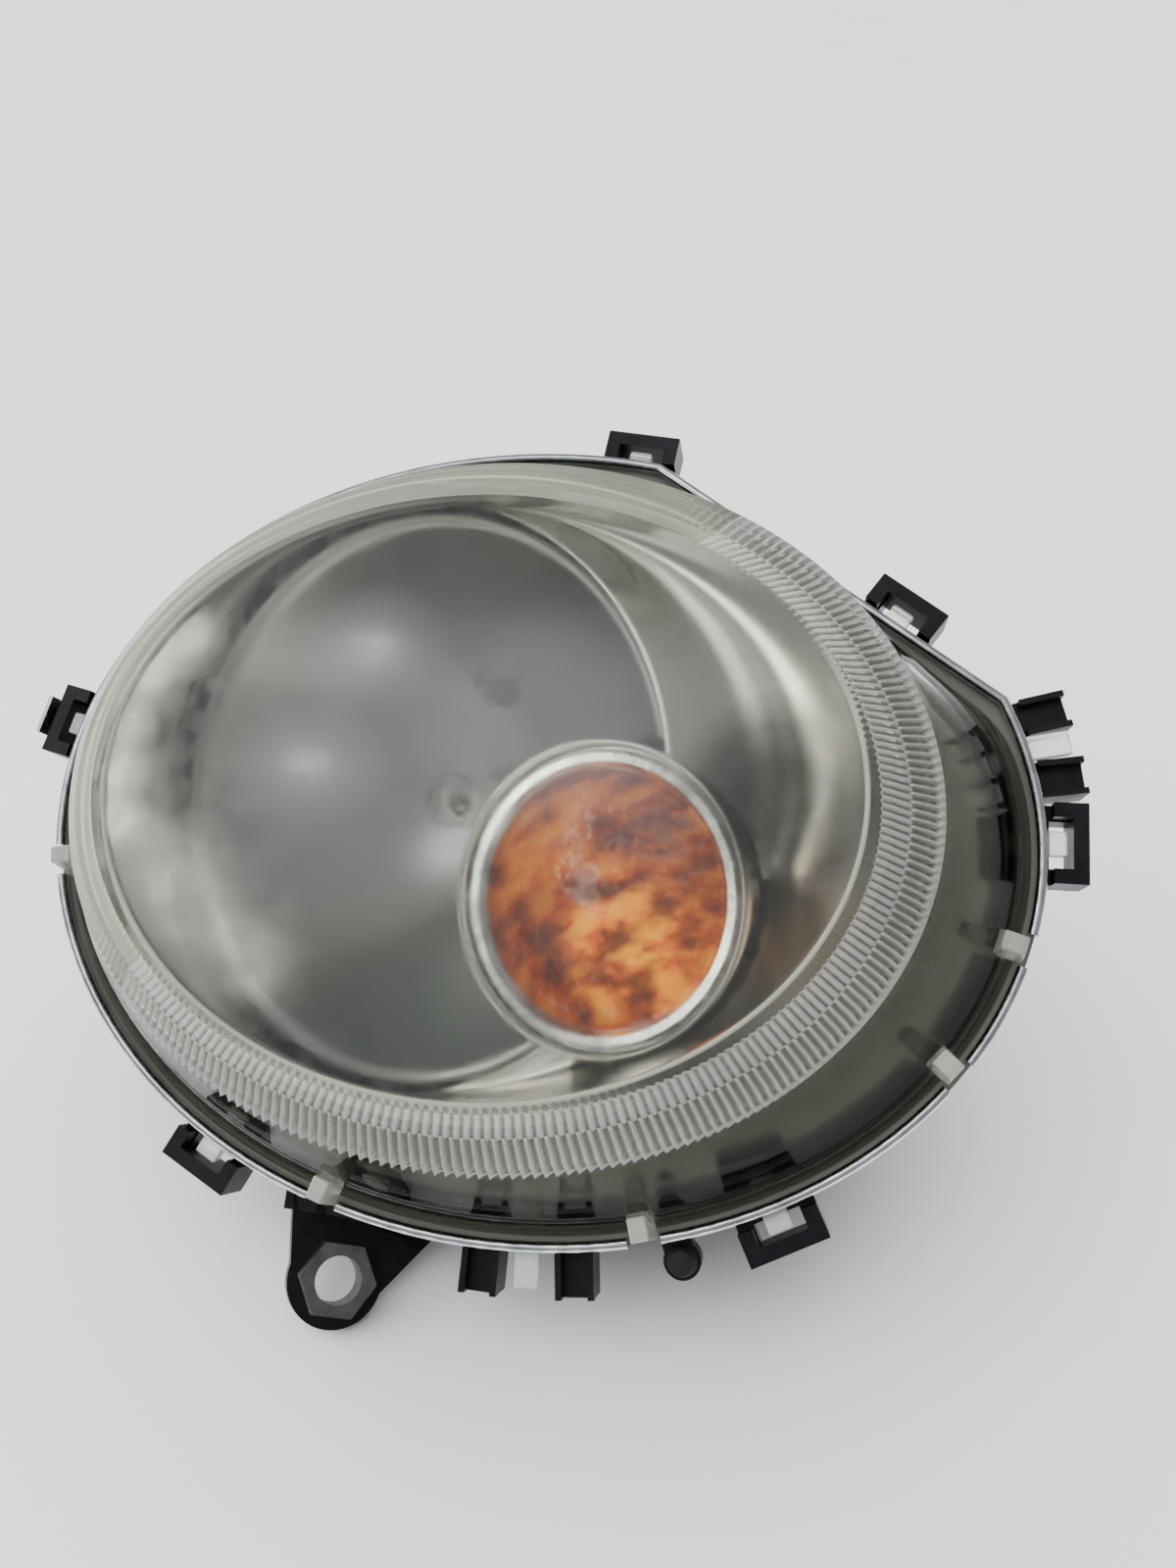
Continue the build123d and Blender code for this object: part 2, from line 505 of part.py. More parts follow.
with BuildPart(BEAM) as bulb_filaments:
    with Locations(Location((0, 2, -38), (0, 0, 0)), Location((0, -2, -32), (0, 0, 0))):
        Cylinder(0.6, 6)
    for u, v in ((-3, 2), (3, 2), (0, -2)):
        with Locations((u, v, -46)):
            Cylinder(0.4, 28)
finish(bulb_filaments, "bulb_filaments")

with BuildPart(BEAM) as bulb_shield:
    turned(BEAM, ((4.8, -40), (5.6, -40), (5.6, -28), (4.8, -28)))
    with Locations((0, 8, -34)):
        Box(14, 11, 14, mode=Mode.SUBTRACT)
finish(bulb_shield, "bulb_shield")

with BuildPart(BEAM) as bulb_base:
    turned(BEAM, ((0, -60.1), (10.8, -60.1), (12.8, -67), (21.5, -67.05),
                  (21.5, -68.5), (11.5, -68.6), (11.5, -82), (0, -82)))
    for u, v, width, height in ((0, 8, 8, 0.8), (-8, -3, 0.8, 8), (8, -3, 0.8, 8)):
        with Locations((u, v, -87)):
            Box(width, height, 10.4)
finish(bulb_base, "bulb_base")

with BuildPart(BEAM) as bulb_plug:
    with Locations((0, 0, -94.2)):
        plug_block = Box(27, 25, 24)
    fillet(plug_block.edges().filter_by(Axis(BEAM.origin, BEAM.z_dir)), 5)
    with Locations((0, 0, -87.2)):
        Box(20, 20, 10.2, mode=Mode.SUBTRACT)
finish(bulb_plug, "bulb_plug")

CLIP_HINGE_V, CLIP_W, WIRE_R = -27.0, -70.0, 0.9
with BuildPart(BEAM) as bulb_clip:
    with BuildSketch(BEAM.offset(CLIP_W - WIRE_R)):
        RectangleRounded(36, 2 * (WIRE_R - CLIP_HINGE_V), 6)
        RectangleRounded(36 - 4 * WIRE_R, -2 * (WIRE_R + CLIP_HINGE_V), 4.2, mode=Mode.SUBTRACT)
    extrude(amount=2 * WIRE_R)
finish(bulb_clip, "bulb_clip")

# ---- parking lamp -------------------------------------------------------------------------
with BuildPart() as parking_holder:
    turned(PARKING, ((2.9, -44), (5.7, -44), (5.7, -57), (8.5, -57), (8.5, -63), (0, -63), (0, -52), (2.9, -52)))
finish(parking_holder, "parking_holder")

with BuildPart() as parking_bulb:
    turned(PARKING, ((0, -30), (2.4, -32), (2.8, -36), (2.8, -51.8), (0, -51.8)))
finish(parking_bulb, "parking_bulb")

# ---- turn signal --------------------------------------------------------------------------
with BuildPart() as turn_lens:
    turned(SIGNAL, ((SIGNAL_R, 2.2), (SIGNAL_R, 4.5), (27, 7), (18, 9.2), (9, 10.4), (0, 10.8),
                    (0, 8.6), (9, 8.2), (18, 7), (26.3, 4.9), (31, 2.2)))
finish(turn_lens, "turn_lens")

with BuildPart() as turn_ring:
    turned(SIGNAL, ((SIGNAL_R + 0.1, 2.2), (38.8, 2.2), (38.8, 5.4), (37, 7), (35, 7), (SIGNAL_R + 0.1, 5.2)))
finish(turn_ring, "turn_ring")

SIGNAL_DEPTH = SIGNAL_R**2 / (4 * SIGNAL_FOCAL)
with BuildPart() as turn_reflector:
    cup = bowl_points(13.2, SIGNAL_R, SIGNAL_FOCAL, -SIGNAL_DEPTH + 1)
    back = bowl_points(15.2, SIGNAL_R + 1.8, SIGNAL_FOCAL, -SIGNAL_DEPTH - 2)
    turned(SIGNAL, cup + [(SIGNAL_R, 2.1), (38.8, 2.1), (38.8, 0), (SIGNAL_R + 1.8, 0)] + back[::-1]
           + [(15.2, -52), (13.2, -52)])
finish(turn_reflector, "turn_reflector")

with BuildPart() as turn_bulb:
    turned(SIGNAL, ((0, -8), (7, -10), (10.4, -16), (10.4, -22), (7.4, -33), (7.4, -48), (0, -48)))
finish(turn_bulb, "turn_bulb")

with BuildPart(SIGNAL) as turn_bulb_holder:
    turned(SIGNAL, ((7.5, -37), (12.7, -37), (12.7, -118), (0, -118), (0, -48.1), (7.5, -48.1)))
    turned(SIGNAL, ((12.6, -122), (17.5, -122), (17.5, -115), (12.6, -115)))
    with Locations((0, 0, -124)):
        Box(30, 5, 12)
finish(turn_bulb_holder, "turn_bulb_holder")

with BuildPart() as turn_seal:
    tube(SIGNAL, SIGNAL_BOSS_R - 0.05, 12.95, -112, -107)
finish(turn_seal, "turn_seal")

# ---- aiming: fixed ball, swivel socket, levelling motor and side adjuster -----------------
PIVOT, LEVEL, SIDE = beam_plane(*PIVOT_UV), beam_plane(*LEVEL_UV), beam_plane(*SIDE_UV)


def ball_end(plane, radius, stem, low, centre=BALL_W):
    """A ball on a stem that runs back to a lower end."""
    rod(plane, stem, low, centre)
    with Locations(plane.offset(centre).location):
        Sphere(radius)


MOTOR_SCREW_CIRCLE, MOTOR_SCREW_R, MOTOR_SCREW_HEAD_R = 19.9, 1.2, 2.0
MOTOR_SCREWS = [(LEVEL_UV[0] + MOTOR_SCREW_CIRCLE * math.cos(turn),
                 LEVEL_UV[1] + MOTOR_SCREW_CIRCLE * math.sin(turn))
                for turn in (0, 2 * math.pi / 3, 4 * math.pi / 3)]

with BuildPart() as pivot_stud:
    ball_end(PIVOT, BALL_R, 2.6, -63.8)
finish(pivot_stud, "pivot_stud")

with BuildPart(BEAM) as pivot_socket:
    with Locations(Location((*PIVOT_UV, BALL_W), (0, 90, 0))):
        Cylinder(7.4, 16.4)
        Cylinder(TRUNNION_R, 24.4)
    with Locations((*PIVOT_UV, BALL_W)):
        Sphere(BALL_R + BALL_GAP, mode=Mode.SUBTRACT)
    with Locations((*PIVOT_UV, BALL_W - 5)):
        Cylinder(BALL_R - 0.4, 10, mode=Mode.SUBTRACT)
finish(pivot_socket, "pivot_socket")

with BuildPart() as level_rod:
    ball_end(LEVEL, BALL_R, 3.0, -76, LEVEL_BALL_W)
finish(level_rod, "level_rod")

with BuildPart(BEAM) as level_motor:
    turned(LEVEL, ((3.1, -56), (7, -56), (7, -60), (MOTOR_R, -60), (MOTOR_R, -91),
                   (22, -91), (22, -94), (8.2, -94), (8.2, -84), (3.1, -84)))
    with Locations((LEVEL_UV[0] - 14, LEVEL_UV[1], -97)):
        Box(9, 14, 6.2)
    with Locations((LEVEL_UV[0] - 14, LEVEL_UV[1], -98)):
        Box(6.5, 11.5, 6.4, mode=Mode.SUBTRACT)
    for u, v in MOTOR_SCREWS:
        rod(beam_plane(u, v), MOTOR_SCREW_R, -100, -80, Mode.SUBTRACT)
finish(level_motor, "level_motor")

with BuildPart() as height_adjuster:
    turned(LEVEL, ((0, -85), (7.8, -85), (7.8, -94.5), (6, -95), (6, -102), (0, -102)))
    with BuildSketch(LEVEL.offset(-102.1)):
        RegularPolygon(2.5, 6)
    extrude(amount=5, mode=Mode.SUBTRACT)
finish(height_adjuster, "height_adjuster")

with BuildPart() as side_nut:
    ball_end(SIDE, BALL_R + 1, 4.6, -46)
    rod(SIDE, 3.06, -60, -20, Mode.SUBTRACT)
finish(side_nut, "side_nut")

with BuildPart() as side_screw:
    rod(SIDE, 3.0, -121, -26)
    turned(SIDE, ((0, -131), (7, -131), (9, -129), (9, -121), (0, -121)))
    with BuildSketch(SIDE.offset(-131.1)):
        RegularPolygon(3.2, 6)
    extrude(amount=6, mode=Mode.SUBTRACT)
finish(side_screw, "side_screw")

with BuildPart() as side_seal:
    tube(SIDE, 6.5, 3.1, -120.8, -120.1)
finish(side_seal, "side_seal")

# ---- rear cap, seals, vents and electrical socket -----------------------------------------
with BuildPart(BEAM) as rear_cap:
    turned(BEAM, ((0, -117.4), (CAP_BOSS_R - 1.8, -117.4), (CAP_BOSS_R - 1.8, -108), (CAP_BOSS_R - 0.4, -108),
                  (CAP_BOSS_R - 0.4, -114.4), (38, -114.4), (38, -119.4), (0, -119.4)))
    with Locations((0, 0, -121)):
        Box(46, 5, 4)
finish(rear_cap, "rear_cap")

with BuildPart() as cap_seal:
    tube(BEAM, CAP_BOSS_R + 2.6, CAP_BOSS_R + 0.2, -114.3, -114.05)
finish(cap_seal, "cap_seal")

VENTS = ((-40.0, 66.0, -64.0), (12.0, 69.0, -60.0))
VENT_STEM_R, VENT_CAP_R = 4.0, 8.0
with BuildPart() as vent_caps:
    for x, y, z in VENTS:
        with Locations((x, y, z - 5)):
            Cylinder(VENT_STEM_R, 14)
        with Locations((x, y, z - 11)):
            Cylinder(VENT_CAP_R, 5)
finish(vent_caps, "vent_caps")

SOCKET_WIDTH, SOCKET_HEIGHT, SOCKET_LENGTH, SOCKET_WALL, SOCKET_DEPTH = 30.0, 20.0, 40.0, 2.5, 18.0
with BuildPart(SOCKET) as main_connector:
    with Locations((0, 0, 8)):
        Box(SOCKET_WIDTH, SOCKET_HEIGHT, SOCKET_LENGTH)
    with Locations((0, 0, 19.1)):
        Box(SOCKET_WIDTH - 2 * SOCKET_WALL, SOCKET_HEIGHT - 2 * SOCKET_WALL, SOCKET_DEPTH, mode=Mode.SUBTRACT)
finish(main_connector, "main_connector")

PIN_PITCH, PIN_SIZE = 6.0, 1.5
with BuildPart(SOCKET) as connector_pins:
    with Locations((0, 0, 14.15)):
        with GridLocations(PIN_PITCH, PIN_PITCH, 4, 2):
            Box(PIN_SIZE, PIN_SIZE, 8)
finish(connector_pins, "connector_pins")

with BuildPart() as motor_screws:
    for u, v in MOTOR_SCREWS:
        screw(beam_plane(u, v).offset(-94), MOTOR_SCREW_R, MOTOR_SCREW_HEAD_R, 2.9, 1.8)
finish(motor_screws, "motor_screws")
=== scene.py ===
import json
import math

import bmesh
import bpy
import numpy as np
from mathutils import Matrix, Vector


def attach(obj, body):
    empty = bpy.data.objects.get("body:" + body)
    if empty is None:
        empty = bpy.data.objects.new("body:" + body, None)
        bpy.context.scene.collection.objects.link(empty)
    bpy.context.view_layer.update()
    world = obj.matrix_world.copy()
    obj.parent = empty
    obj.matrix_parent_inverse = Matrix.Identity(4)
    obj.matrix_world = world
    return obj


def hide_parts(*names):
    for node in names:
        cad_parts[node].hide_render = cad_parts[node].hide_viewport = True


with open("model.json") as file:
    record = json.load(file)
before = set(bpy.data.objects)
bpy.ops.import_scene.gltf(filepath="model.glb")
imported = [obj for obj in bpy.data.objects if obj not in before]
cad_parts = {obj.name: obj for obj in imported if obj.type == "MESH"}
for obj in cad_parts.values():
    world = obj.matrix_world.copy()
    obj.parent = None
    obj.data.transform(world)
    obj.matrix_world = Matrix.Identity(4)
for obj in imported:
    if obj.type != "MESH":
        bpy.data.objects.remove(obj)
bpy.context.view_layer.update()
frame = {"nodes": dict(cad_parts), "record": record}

# ---- lamp axes: millimetres from the centre of the lens foot, Z straight out of the lens ----
MM = 0.001
YAW, PITCH, ROLL = -15.5, 38.0, 5.5
MOUNTS = {mount["name"]: mount for mount in frame["record"]["mounts"]}
FOOT = Vector(MOUNTS["lens_foot"]["pos_m"])
LAMP = (Matrix.Translation(FOOT) @ Matrix.Rotation(math.radians(YAW), 4, "Z")
        @ Matrix.Rotation(math.radians(PITCH), 4, "X") @ Matrix.Rotation(math.radians(ROLL), 4, "Z")
        @ Matrix.Scale(MM, 4))

# the lens foot is an oval with one flattened corner
FOOT_X, FOOT_Y = 145.0, 115.5
FLAT_ANGLE, FLAT_REACH = math.radians(57.1), 111.2
FLAT_SOFTNESS = 2.5

# the beam's own axes: U and V across it, O along it, from the middle of the reflector's rim
BEAM_U = np.array((0.9645, -0.0405, 0.2609))
BEAM_O = np.array((-0.264, -0.148, 0.953))
BEAM_O /= np.linalg.norm(BEAM_O)
BEAM_U -= BEAM_O * (BEAM_U @ BEAM_O)
BEAM_U /= np.linalg.norm(BEAM_U)
BEAM_V = np.cross(BEAM_O, BEAM_U)
BEAM_ORIGIN = np.array((-30.5, 4.0, 9.0))
BOWL_R, FOCAL = 78.0, 25.0
BOWL_DEPTH = BOWL_R**2 / (4 * FOCAL)
# the turn signal, placed across the beam
SIGNAL_UV = (65.3, -23.1)
SIGNAL_R = 33.5
SIGNAL_HOLE_R = 40.2


def beam(u, v, w):
    """Lamp-axis points from distances across and along the beam."""
    u, v, w = np.broadcast_arrays(u, v, w)
    return BEAM_ORIGIN + u[..., None] * BEAM_U + v[..., None] * BEAM_V + w[..., None] * BEAM_O


# ---- mesh helpers -------------------------------------------------------------------------
def new_object(name, vertices, faces, material, body="housing", smooth=True):
    """A mesh object from lamp-axis points, placed in the world and riding on a body."""
    matrix = np.array(LAMP)
    points = np.asarray(vertices, float) @ matrix[:3, :3].T + matrix[:3, 3]
    mesh = bpy.data.meshes.new(name)
    mesh.from_pydata(points.tolist(), [], faces)
    mesh.validate()
    shape = bmesh.new()
    shape.from_mesh(mesh)
    bmesh.ops.recalc_face_normals(shape, faces=shape.faces)
    if shape.calc_volume(signed=True) < 0:
        bmesh.ops.reverse_faces(shape, faces=shape.faces)
    shape.to_mesh(mesh)
    shape.free()
    obj = bpy.data.objects.new(name, mesh)
    bpy.context.collection.objects.link(obj)
    mesh.materials.append(material)
    if smooth:
        mesh.polygons.foreach_set("use_smooth", [True] * len(mesh.polygons))
    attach(obj, body)
    return obj


def ring_faces(rings, count, cap_first=False, cap_last=False, close=False):
    """Quads between consecutive rings of the same count, with optional end caps."""
    faces = []
    last = rings if close else rings - 1
    for row in range(last):
        base, nxt = row * count, ((row + 1) % rings) * count
        for i in range(count):
            j = (i + 1) % count
            faces.append((base + i, base + j, nxt + j, nxt + i))
    if cap_first:
        faces.append(tuple(reversed(range(count))))
    if cap_last:
        faces.append(tuple(range((rings - 1) * count, rings * count)))
    return faces


def ringed(name, rings, material, body="housing", caps=(False, False), close=False):
    """An object skinned over a list of closed rings."""
    rings = [np.asarray(ring, float) for ring in rings]
    count = len(rings[0])
    faces = ring_faces(len(rings), count, caps[0], caps[1], close)
    return new_object(name, np.concatenate(rings), faces, material, body)


def turned(name, profile, centre, material, body="housing", count=192):
    """A closed profile of (radius, height) points turned about a beam-parallel axis."""
    angle = np.linspace(0, 2 * math.pi, count, endpoint=False)
    rings = [beam(centre[0] + r * np.cos(angle), centre[1] + r * np.sin(angle), np.full(count, w))
             for r, w in profile]
    return ringed(name, rings, material, body, close=True)


def flattened(points, reach):
    """Pull points in where they pass the foot's flattened corner, with softly rounded ends."""
    heading = np.array((math.cos(FLAT_ANGLE), math.sin(FLAT_ANGLE)))
    along = points[:, :2] @ heading
    over = FLAT_SOFTNESS * np.log1p(np.exp(np.clip((along - reach) / FLAT_SOFTNESS, -40, 40)))
    scale = np.where(along > 1, (along - over) / np.maximum(along, 1), 1)
    points = points.copy()
    points[:, :2] *= scale[:, None]
    return points


def oval(half_x, half_y, z, turn, centre=(0.0, 0.0)):
    """An elliptical ring at one height."""
    return np.stack((centre[0] + half_x * np.cos(turn), centre[1] + half_y * np.sin(turn),
                     np.full_like(turn, z)), axis=1)


def foot_ring(inset, z, turn):
    """A ring that follows the foot's outline at an inset."""
    return flattened(oval(FOOT_X - inset, FOOT_Y - inset, z, turn), FLAT_REACH - inset)


# ---- materials ----------------------------------------------------------------------------
PIT_DEPTH, GRAIN_DEPTH, PILLOW_DEPTH = 0.0003, 0.0002, 0.002
PLASTIC_SHEEN = 0.18
NOISE_ROUGHNESS = 0.6
SHADOW_TINT = (0.93, 0.94, 0.92)
AMBER_SHADOW_TINT = (1.0, 0.5, 0.12)


def node_material(name):
    """A new material with its node tree and its shader."""
    material = bpy.data.materials.new(name)
    material.use_nodes = True
    tree = material.node_tree
    shader = tree.nodes["Principled BSDF"]
    return material, tree, shader


def noise(tree, scale, detail=4.0, stretch=(1, 1, 1), turn=(0, 0, 0)):
    """A noise texture in the object's own coordinates, optionally stretched and turned."""
    coords = tree.nodes.new("ShaderNodeTexCoord")
    mapping = tree.nodes.new("ShaderNodeMapping")
    mapping.inputs["Scale"].default_value = stretch
    mapping.inputs["Rotation"].default_value = turn
    texture = tree.nodes.new("ShaderNodeTexNoise")
    texture.inputs["Scale"].default_value = scale
    texture.inputs["Detail"].default_value = detail
    texture.inputs["Roughness"].default_value = NOISE_ROUGHNESS
    tree.links.new(coords.outputs["Object"], mapping.inputs["Vector"])
    tree.links.new(mapping.outputs["Vector"], texture.inputs["Vector"])
    return texture.outputs["Fac"]


def ramp(tree, source, stops):
    """A colour ramp; stops are (position, colour) with grey numbers allowed."""
    node = tree.nodes.new("ShaderNodeValToRGB")
    elements = node.color_ramp.elements
    while len(elements) < len(stops):
        elements.new(0.5)
    for element, (position, colour) in zip(elements, stops):
        element.position = position
        element.color = (*colour, 1) if isinstance(colour, tuple) else (colour, colour, colour, 1)
    tree.links.new(source, node.inputs["Fac"])
    return node.outputs["Color"]


def bump(tree, shader, source, strength, distance):
    """Raise the surface by a texture, without changing the mesh."""
    node = tree.nodes.new("ShaderNodeBump")
    node.inputs["Strength"].default_value = strength
    node.inputs["Distance"].default_value = distance
    tree.links.new(source, node.inputs["Height"])
    tree.links.new(node.outputs["Normal"], shader.inputs["Normal"])


def metal(name, dark, light, rough_low, rough_high, scale=60.0, bumpiness=0.0):
    """Bare or plated metal: a cloudy colour and a finely varied polish."""
    material, tree, shader = node_material(name)
    shader.inputs["Metallic"].default_value = 1.0
    cloud = noise(tree, scale)
    tree.links.new(ramp(tree, cloud, ((0.3, dark), (0.7, light))), shader.inputs["Base Color"])
    fine = noise(tree, scale * 6)
    tree.links.new(ramp(tree, fine, ((0.3, rough_low), (0.7, rough_high))), shader.inputs["Roughness"])
    if bumpiness:
        bump(tree, shader, fine, bumpiness, PIT_DEPTH)
    return material


def plastic(name, dark, light, rough_low, rough_high, scale=120.0, bumpiness=0.15):
    """Moulded plastic: a faint cloud of colour, smudged gloss and a fine grain."""
    material, tree, shader = node_material(name)
    shader.inputs["Specular IOR Level"].default_value = PLASTIC_SHEEN
    cloud = noise(tree, scale)
    tree.links.new(ramp(tree, cloud, ((0.35, dark), (0.7, light))), shader.inputs["Base Color"])
    smudge = noise(tree, scale * 0.3)
    tree.links.new(ramp(tree, smudge, ((0.35, rough_low), (0.7, rough_high))), shader.inputs["Roughness"])
    grain = noise(tree, scale * 12, detail=2.0)
    bump(tree, shader, grain, bumpiness, GRAIN_DEPTH)
    return material


def lets_light(material, tint):
    """Let tinted light through a clear piece's shadow, so what is inside it is lit."""
    tree = material.node_tree
    shader = tree.nodes["Principled BSDF"]
    output = tree.nodes["Material Output"]
    path = tree.nodes.new("ShaderNodeLightPath")
    clear = tree.nodes.new("ShaderNodeBsdfTransparent")
    clear.inputs["Color"].default_value = (*tint, 1)
    mix = tree.nodes.new("ShaderNodeMixShader")
    tree.links.new(path.outputs["Is Shadow Ray"], mix.inputs[0])
    tree.links.new(shader.outputs["BSDF"], mix.inputs[1])
    tree.links.new(clear.outputs["BSDF"], mix.inputs[2])
    tree.links.new(mix.outputs["Shader"], output.inputs["Surface"])


def clear_plastic(name, haze_low, haze_high, tint, rough=0.02, ior=1.5):
    """Clear moulded plastic; the haze numbers are its least and its greatest clearness."""
    material, tree, shader = node_material(name)
    shader.inputs["IOR"].default_value = ior
    shader.inputs["Base Color"].default_value = (*tint, 1)
    veil = noise(tree, 9.0, detail=3.0)
    clearness = ramp(tree, veil, ((0.3, haze_high), (0.7, haze_low)))
    tree.links.new(clearness, shader.inputs["Transmission Weight"])
    specks = noise(tree, 160.0, detail=5.0)
    tree.links.new(ramp(tree, specks, ((0.35, rough), (0.75, rough * 3))), shader.inputs["Roughness"])
    lets_light(material, SHADOW_TINT)
    return material


def fluted_plastic():
    """Clear plastic with painted shade: its colour is darker in the gaps between teeth."""
    material = clear_plastic("lens_flutes", 0.6, 0.78, (1.0, 1.0, 1.0), 0.06)
    tree = material.node_tree
    shader = tree.nodes["Principled BSDF"]
    ridge = tree.nodes.new("ShaderNodeAttribute")
    ridge.attribute_name = "ridge"
    # painted shade: the colour darkens from each tooth's ridge into the gap beside it
    shades = ((0.0, (0.2, 0.2, 0.18)), (0.3, (0.75, 0.76, 0.7)), (0.6, (1.0, 1.0, 0.97)))
    tree.links.new(ramp(tree, ridge.outputs["Fac"], shades), shader.inputs["Base Color"])
    return material


def distance_share(tree, centre, radius):
    """The distance from a point in the lamp (mm), as a share of a radius, up to 1."""
    coords = tree.nodes.new("ShaderNodeTexCoord")
    distance = tree.nodes.new("ShaderNodeVectorMath")
    distance.operation = "DISTANCE"
    distance.inputs[1].default_value = LAMP @ Vector(centre)
    span = tree.nodes.new("ShaderNodeMapRange")
    span.inputs["From Max"].default_value = radius * MM
    tree.links.new(coords.outputs["Object"], distance.inputs[0])
    tree.links.new(distance.outputs["Value"], span.inputs["Value"])
    return span.outputs["Result"]


def shaded(material, centre, radius, shades):
    """Multiply a material's colour by a ramp of the distance from a point in the lamp (mm)."""
    tree = material.node_tree
    shader = tree.nodes["Principled BSDF"]
    blend = tree.nodes.new("ShaderNodeMix")
    blend.data_type = "RGBA"
    blend.blend_type = "MULTIPLY"
    blend.inputs[0].default_value = 1.0
    first, second = [socket for socket in blend.inputs if socket.type == "RGBA"]
    base = shader.inputs["Base Color"].links[0].from_socket
    tree.links.new(base, first)
    tree.links.new(ramp(tree, distance_share(tree, centre, radius), shades), second)
    result = next(socket for socket in blend.outputs if socket.type == "RGBA")
    tree.links.new(result, shader.inputs["Base Color"])


# plastic and metal: name, darkest and lightest colour, least and greatest roughness, texture scale,
# bumpiness. clear_plastic: name, least and greatest clearness, tint, roughness, refractive index.
MATERIALS = {
    # the bezel's edge: a real rolled lip, coloured pale as a painted highlight for the bright line it
    # reflects
    "bright_edge": plastic("satin_edge_painted_highlight", (0.72, 0.72, 0.68), (0.82, 0.82, 0.78), 0.2, 0.3, 60, 0.02),
    "lens_skirt": clear_plastic("lens_skirt", 0.994, 1.0, (0.64, 0.64, 0.58), 0.01, 1.08),
    "lens_flutes": fluted_plastic(),
    "lens_flange": clear_plastic("lens_flange", 0.05, 0.2, (0.13, 0.13, 0.115), 0.3, 1.3),
    "lens_band": clear_plastic("lens_band", 0.7, 0.8, (0.62, 0.62, 0.48), 0.08),
    "lug_plastic": clear_plastic("frosted_lugs", 0.55, 0.85, (0.93, 0.94, 0.9), 0.12),
    "smoked_skirt": metal("smoked_metallising", (0.05, 0.05, 0.042), (0.075, 0.075, 0.062), 0.12, 0.13, 5),
    "clear_lens": clear_plastic("hazy_polycarbonate", 0.985, 0.998, (0.95, 0.955, 0.91), 0.07),
    "bright_trim": metal("pitted_chrome", (0.45, 0.47, 0.5), (0.86, 0.87, 0.9), 0.04, 0.16, 90, 0.1),
    "black_housing": plastic("black_moulding", (0.004, 0.0045, 0.006), (0.009, 0.0095, 0.012), 0.28, 0.42),
    "black_rubber": plastic("black_rubber", (0.012, 0.012, 0.012), (0.022, 0.022, 0.022), 0.6, 0.8),
    "silver_bezel": metal("metallised_bezel", (0.6, 0.59, 0.55), (0.68, 0.67, 0.63), 0.17, 0.18, 5),
    "mirror_bowl": metal("metallised_bowl", (0.56, 0.585, 0.58), (0.64, 0.66, 0.66), 0.3, 0.31, 5),
    "clear_glass": clear_plastic("bulb_glass_clear", 0.98, 1.0, (0.97, 0.97, 0.97), 0.005),
    "zinc_steel": metal("zinc_plate", (0.13, 0.135, 0.13), (0.24, 0.245, 0.235), 0.38, 0.6, 180, 0.3),
    "bright_steel": metal("plain_steel", (0.5, 0.5, 0.5), (0.62, 0.62, 0.61), 0.2, 0.35, 120),
    "brass_insert": metal("machined_brass", (0.5, 0.36, 0.16), (0.66, 0.5, 0.25), 0.25, 0.4, 150),
    "black_plastic": plastic("black_gloss", (0.005, 0.005, 0.007), (0.01, 0.01, 0.012), 0.25, 0.4),
    "grey_plastic": plastic("grey_moulding", (0.2, 0.2, 0.21), (0.27, 0.27, 0.28), 0.4, 0.55),
    "white_plastic": plastic("natural_nylon", (0.6, 0.6, 0.56), (0.7, 0.7, 0.66), 0.35, 0.5),
}

# painted glow on the amber lens: a patch that emits light and is less clear, standing in for daylight its
# reflector gathers
AMBER_PAINTED_GLOW_CENTRE, AMBER_PAINTED_GLOW_R = (41.0, -35.0, 31.0), 24.0
AMBER_PAINTED_GLOW_COLOUR, AMBER_PAINTED_GLOW_STRENGTH = (1.0, 0.46, 0.0), 0.95
AMBER_CLEARNESS = 0.9


def maths(tree, operation, first, second):
    """A maths node over two sockets or numbers."""
    node = tree.nodes.new("ShaderNodeMath")
    node.operation = operation
    for socket, value in zip(node.inputs, (first, second)):
        if isinstance(value, float):
            socket.default_value = value
        else:
            tree.links.new(value, socket)
    return node.outputs["Value"]


def amber_material():
    """Amber plastic with slanting streaks, and a painted glow: a less clear, light-emitting patch that
    stands in for daylight gathered by its reflector.
    """
    material, tree, shader = node_material("amber_moulding")
    shader.inputs["IOR"].default_value = 1.5
    streaks = noise(tree, 70.0, detail=3.0, stretch=(1.0, 2.6, 1.0), turn=(0, 0, 0.7))
    near = ramp(tree, distance_share(tree, AMBER_PAINTED_GLOW_CENTRE, AMBER_PAINTED_GLOW_R), ((0.2, 0.7), (0.95, 0.05)))
    painted_glow = maths(tree, "MULTIPLY", near, ramp(tree, streaks, ((0.45, 0.06), (0.6, 1.0))))
    tree.links.new(maths(tree, "SUBTRACT", AMBER_CLEARNESS, painted_glow), shader.inputs["Transmission Weight"])
    # the painted glow: the amber emits light here, though no bulb is lit
    shader.inputs["Emission Color"].default_value = (*AMBER_PAINTED_GLOW_COLOUR, 1)
    tree.links.new(maths(tree, "MULTIPLY", painted_glow, AMBER_PAINTED_GLOW_STRENGTH), shader.inputs["Emission Strength"])
    shades = ((0.36, (0.22, 0.025, 0.0)), (0.52, (0.85, 0.17, 0.0)), (0.68, (1.0, 0.46, 0.0)))
    tree.links.new(ramp(tree, streaks, shades), shader.inputs["Base Color"])
    tree.links.new(ramp(tree, noise(tree, 40.0), ((0.3, 0.05), (0.7, 0.14))), shader.inputs["Roughness"])
    bump(tree, shader, streaks, 0.5, PILLOW_DEPTH)
    lets_light(material, AMBER_SHADOW_TINT)
    return material


MATERIALS["amber_lens"] = amber_material()
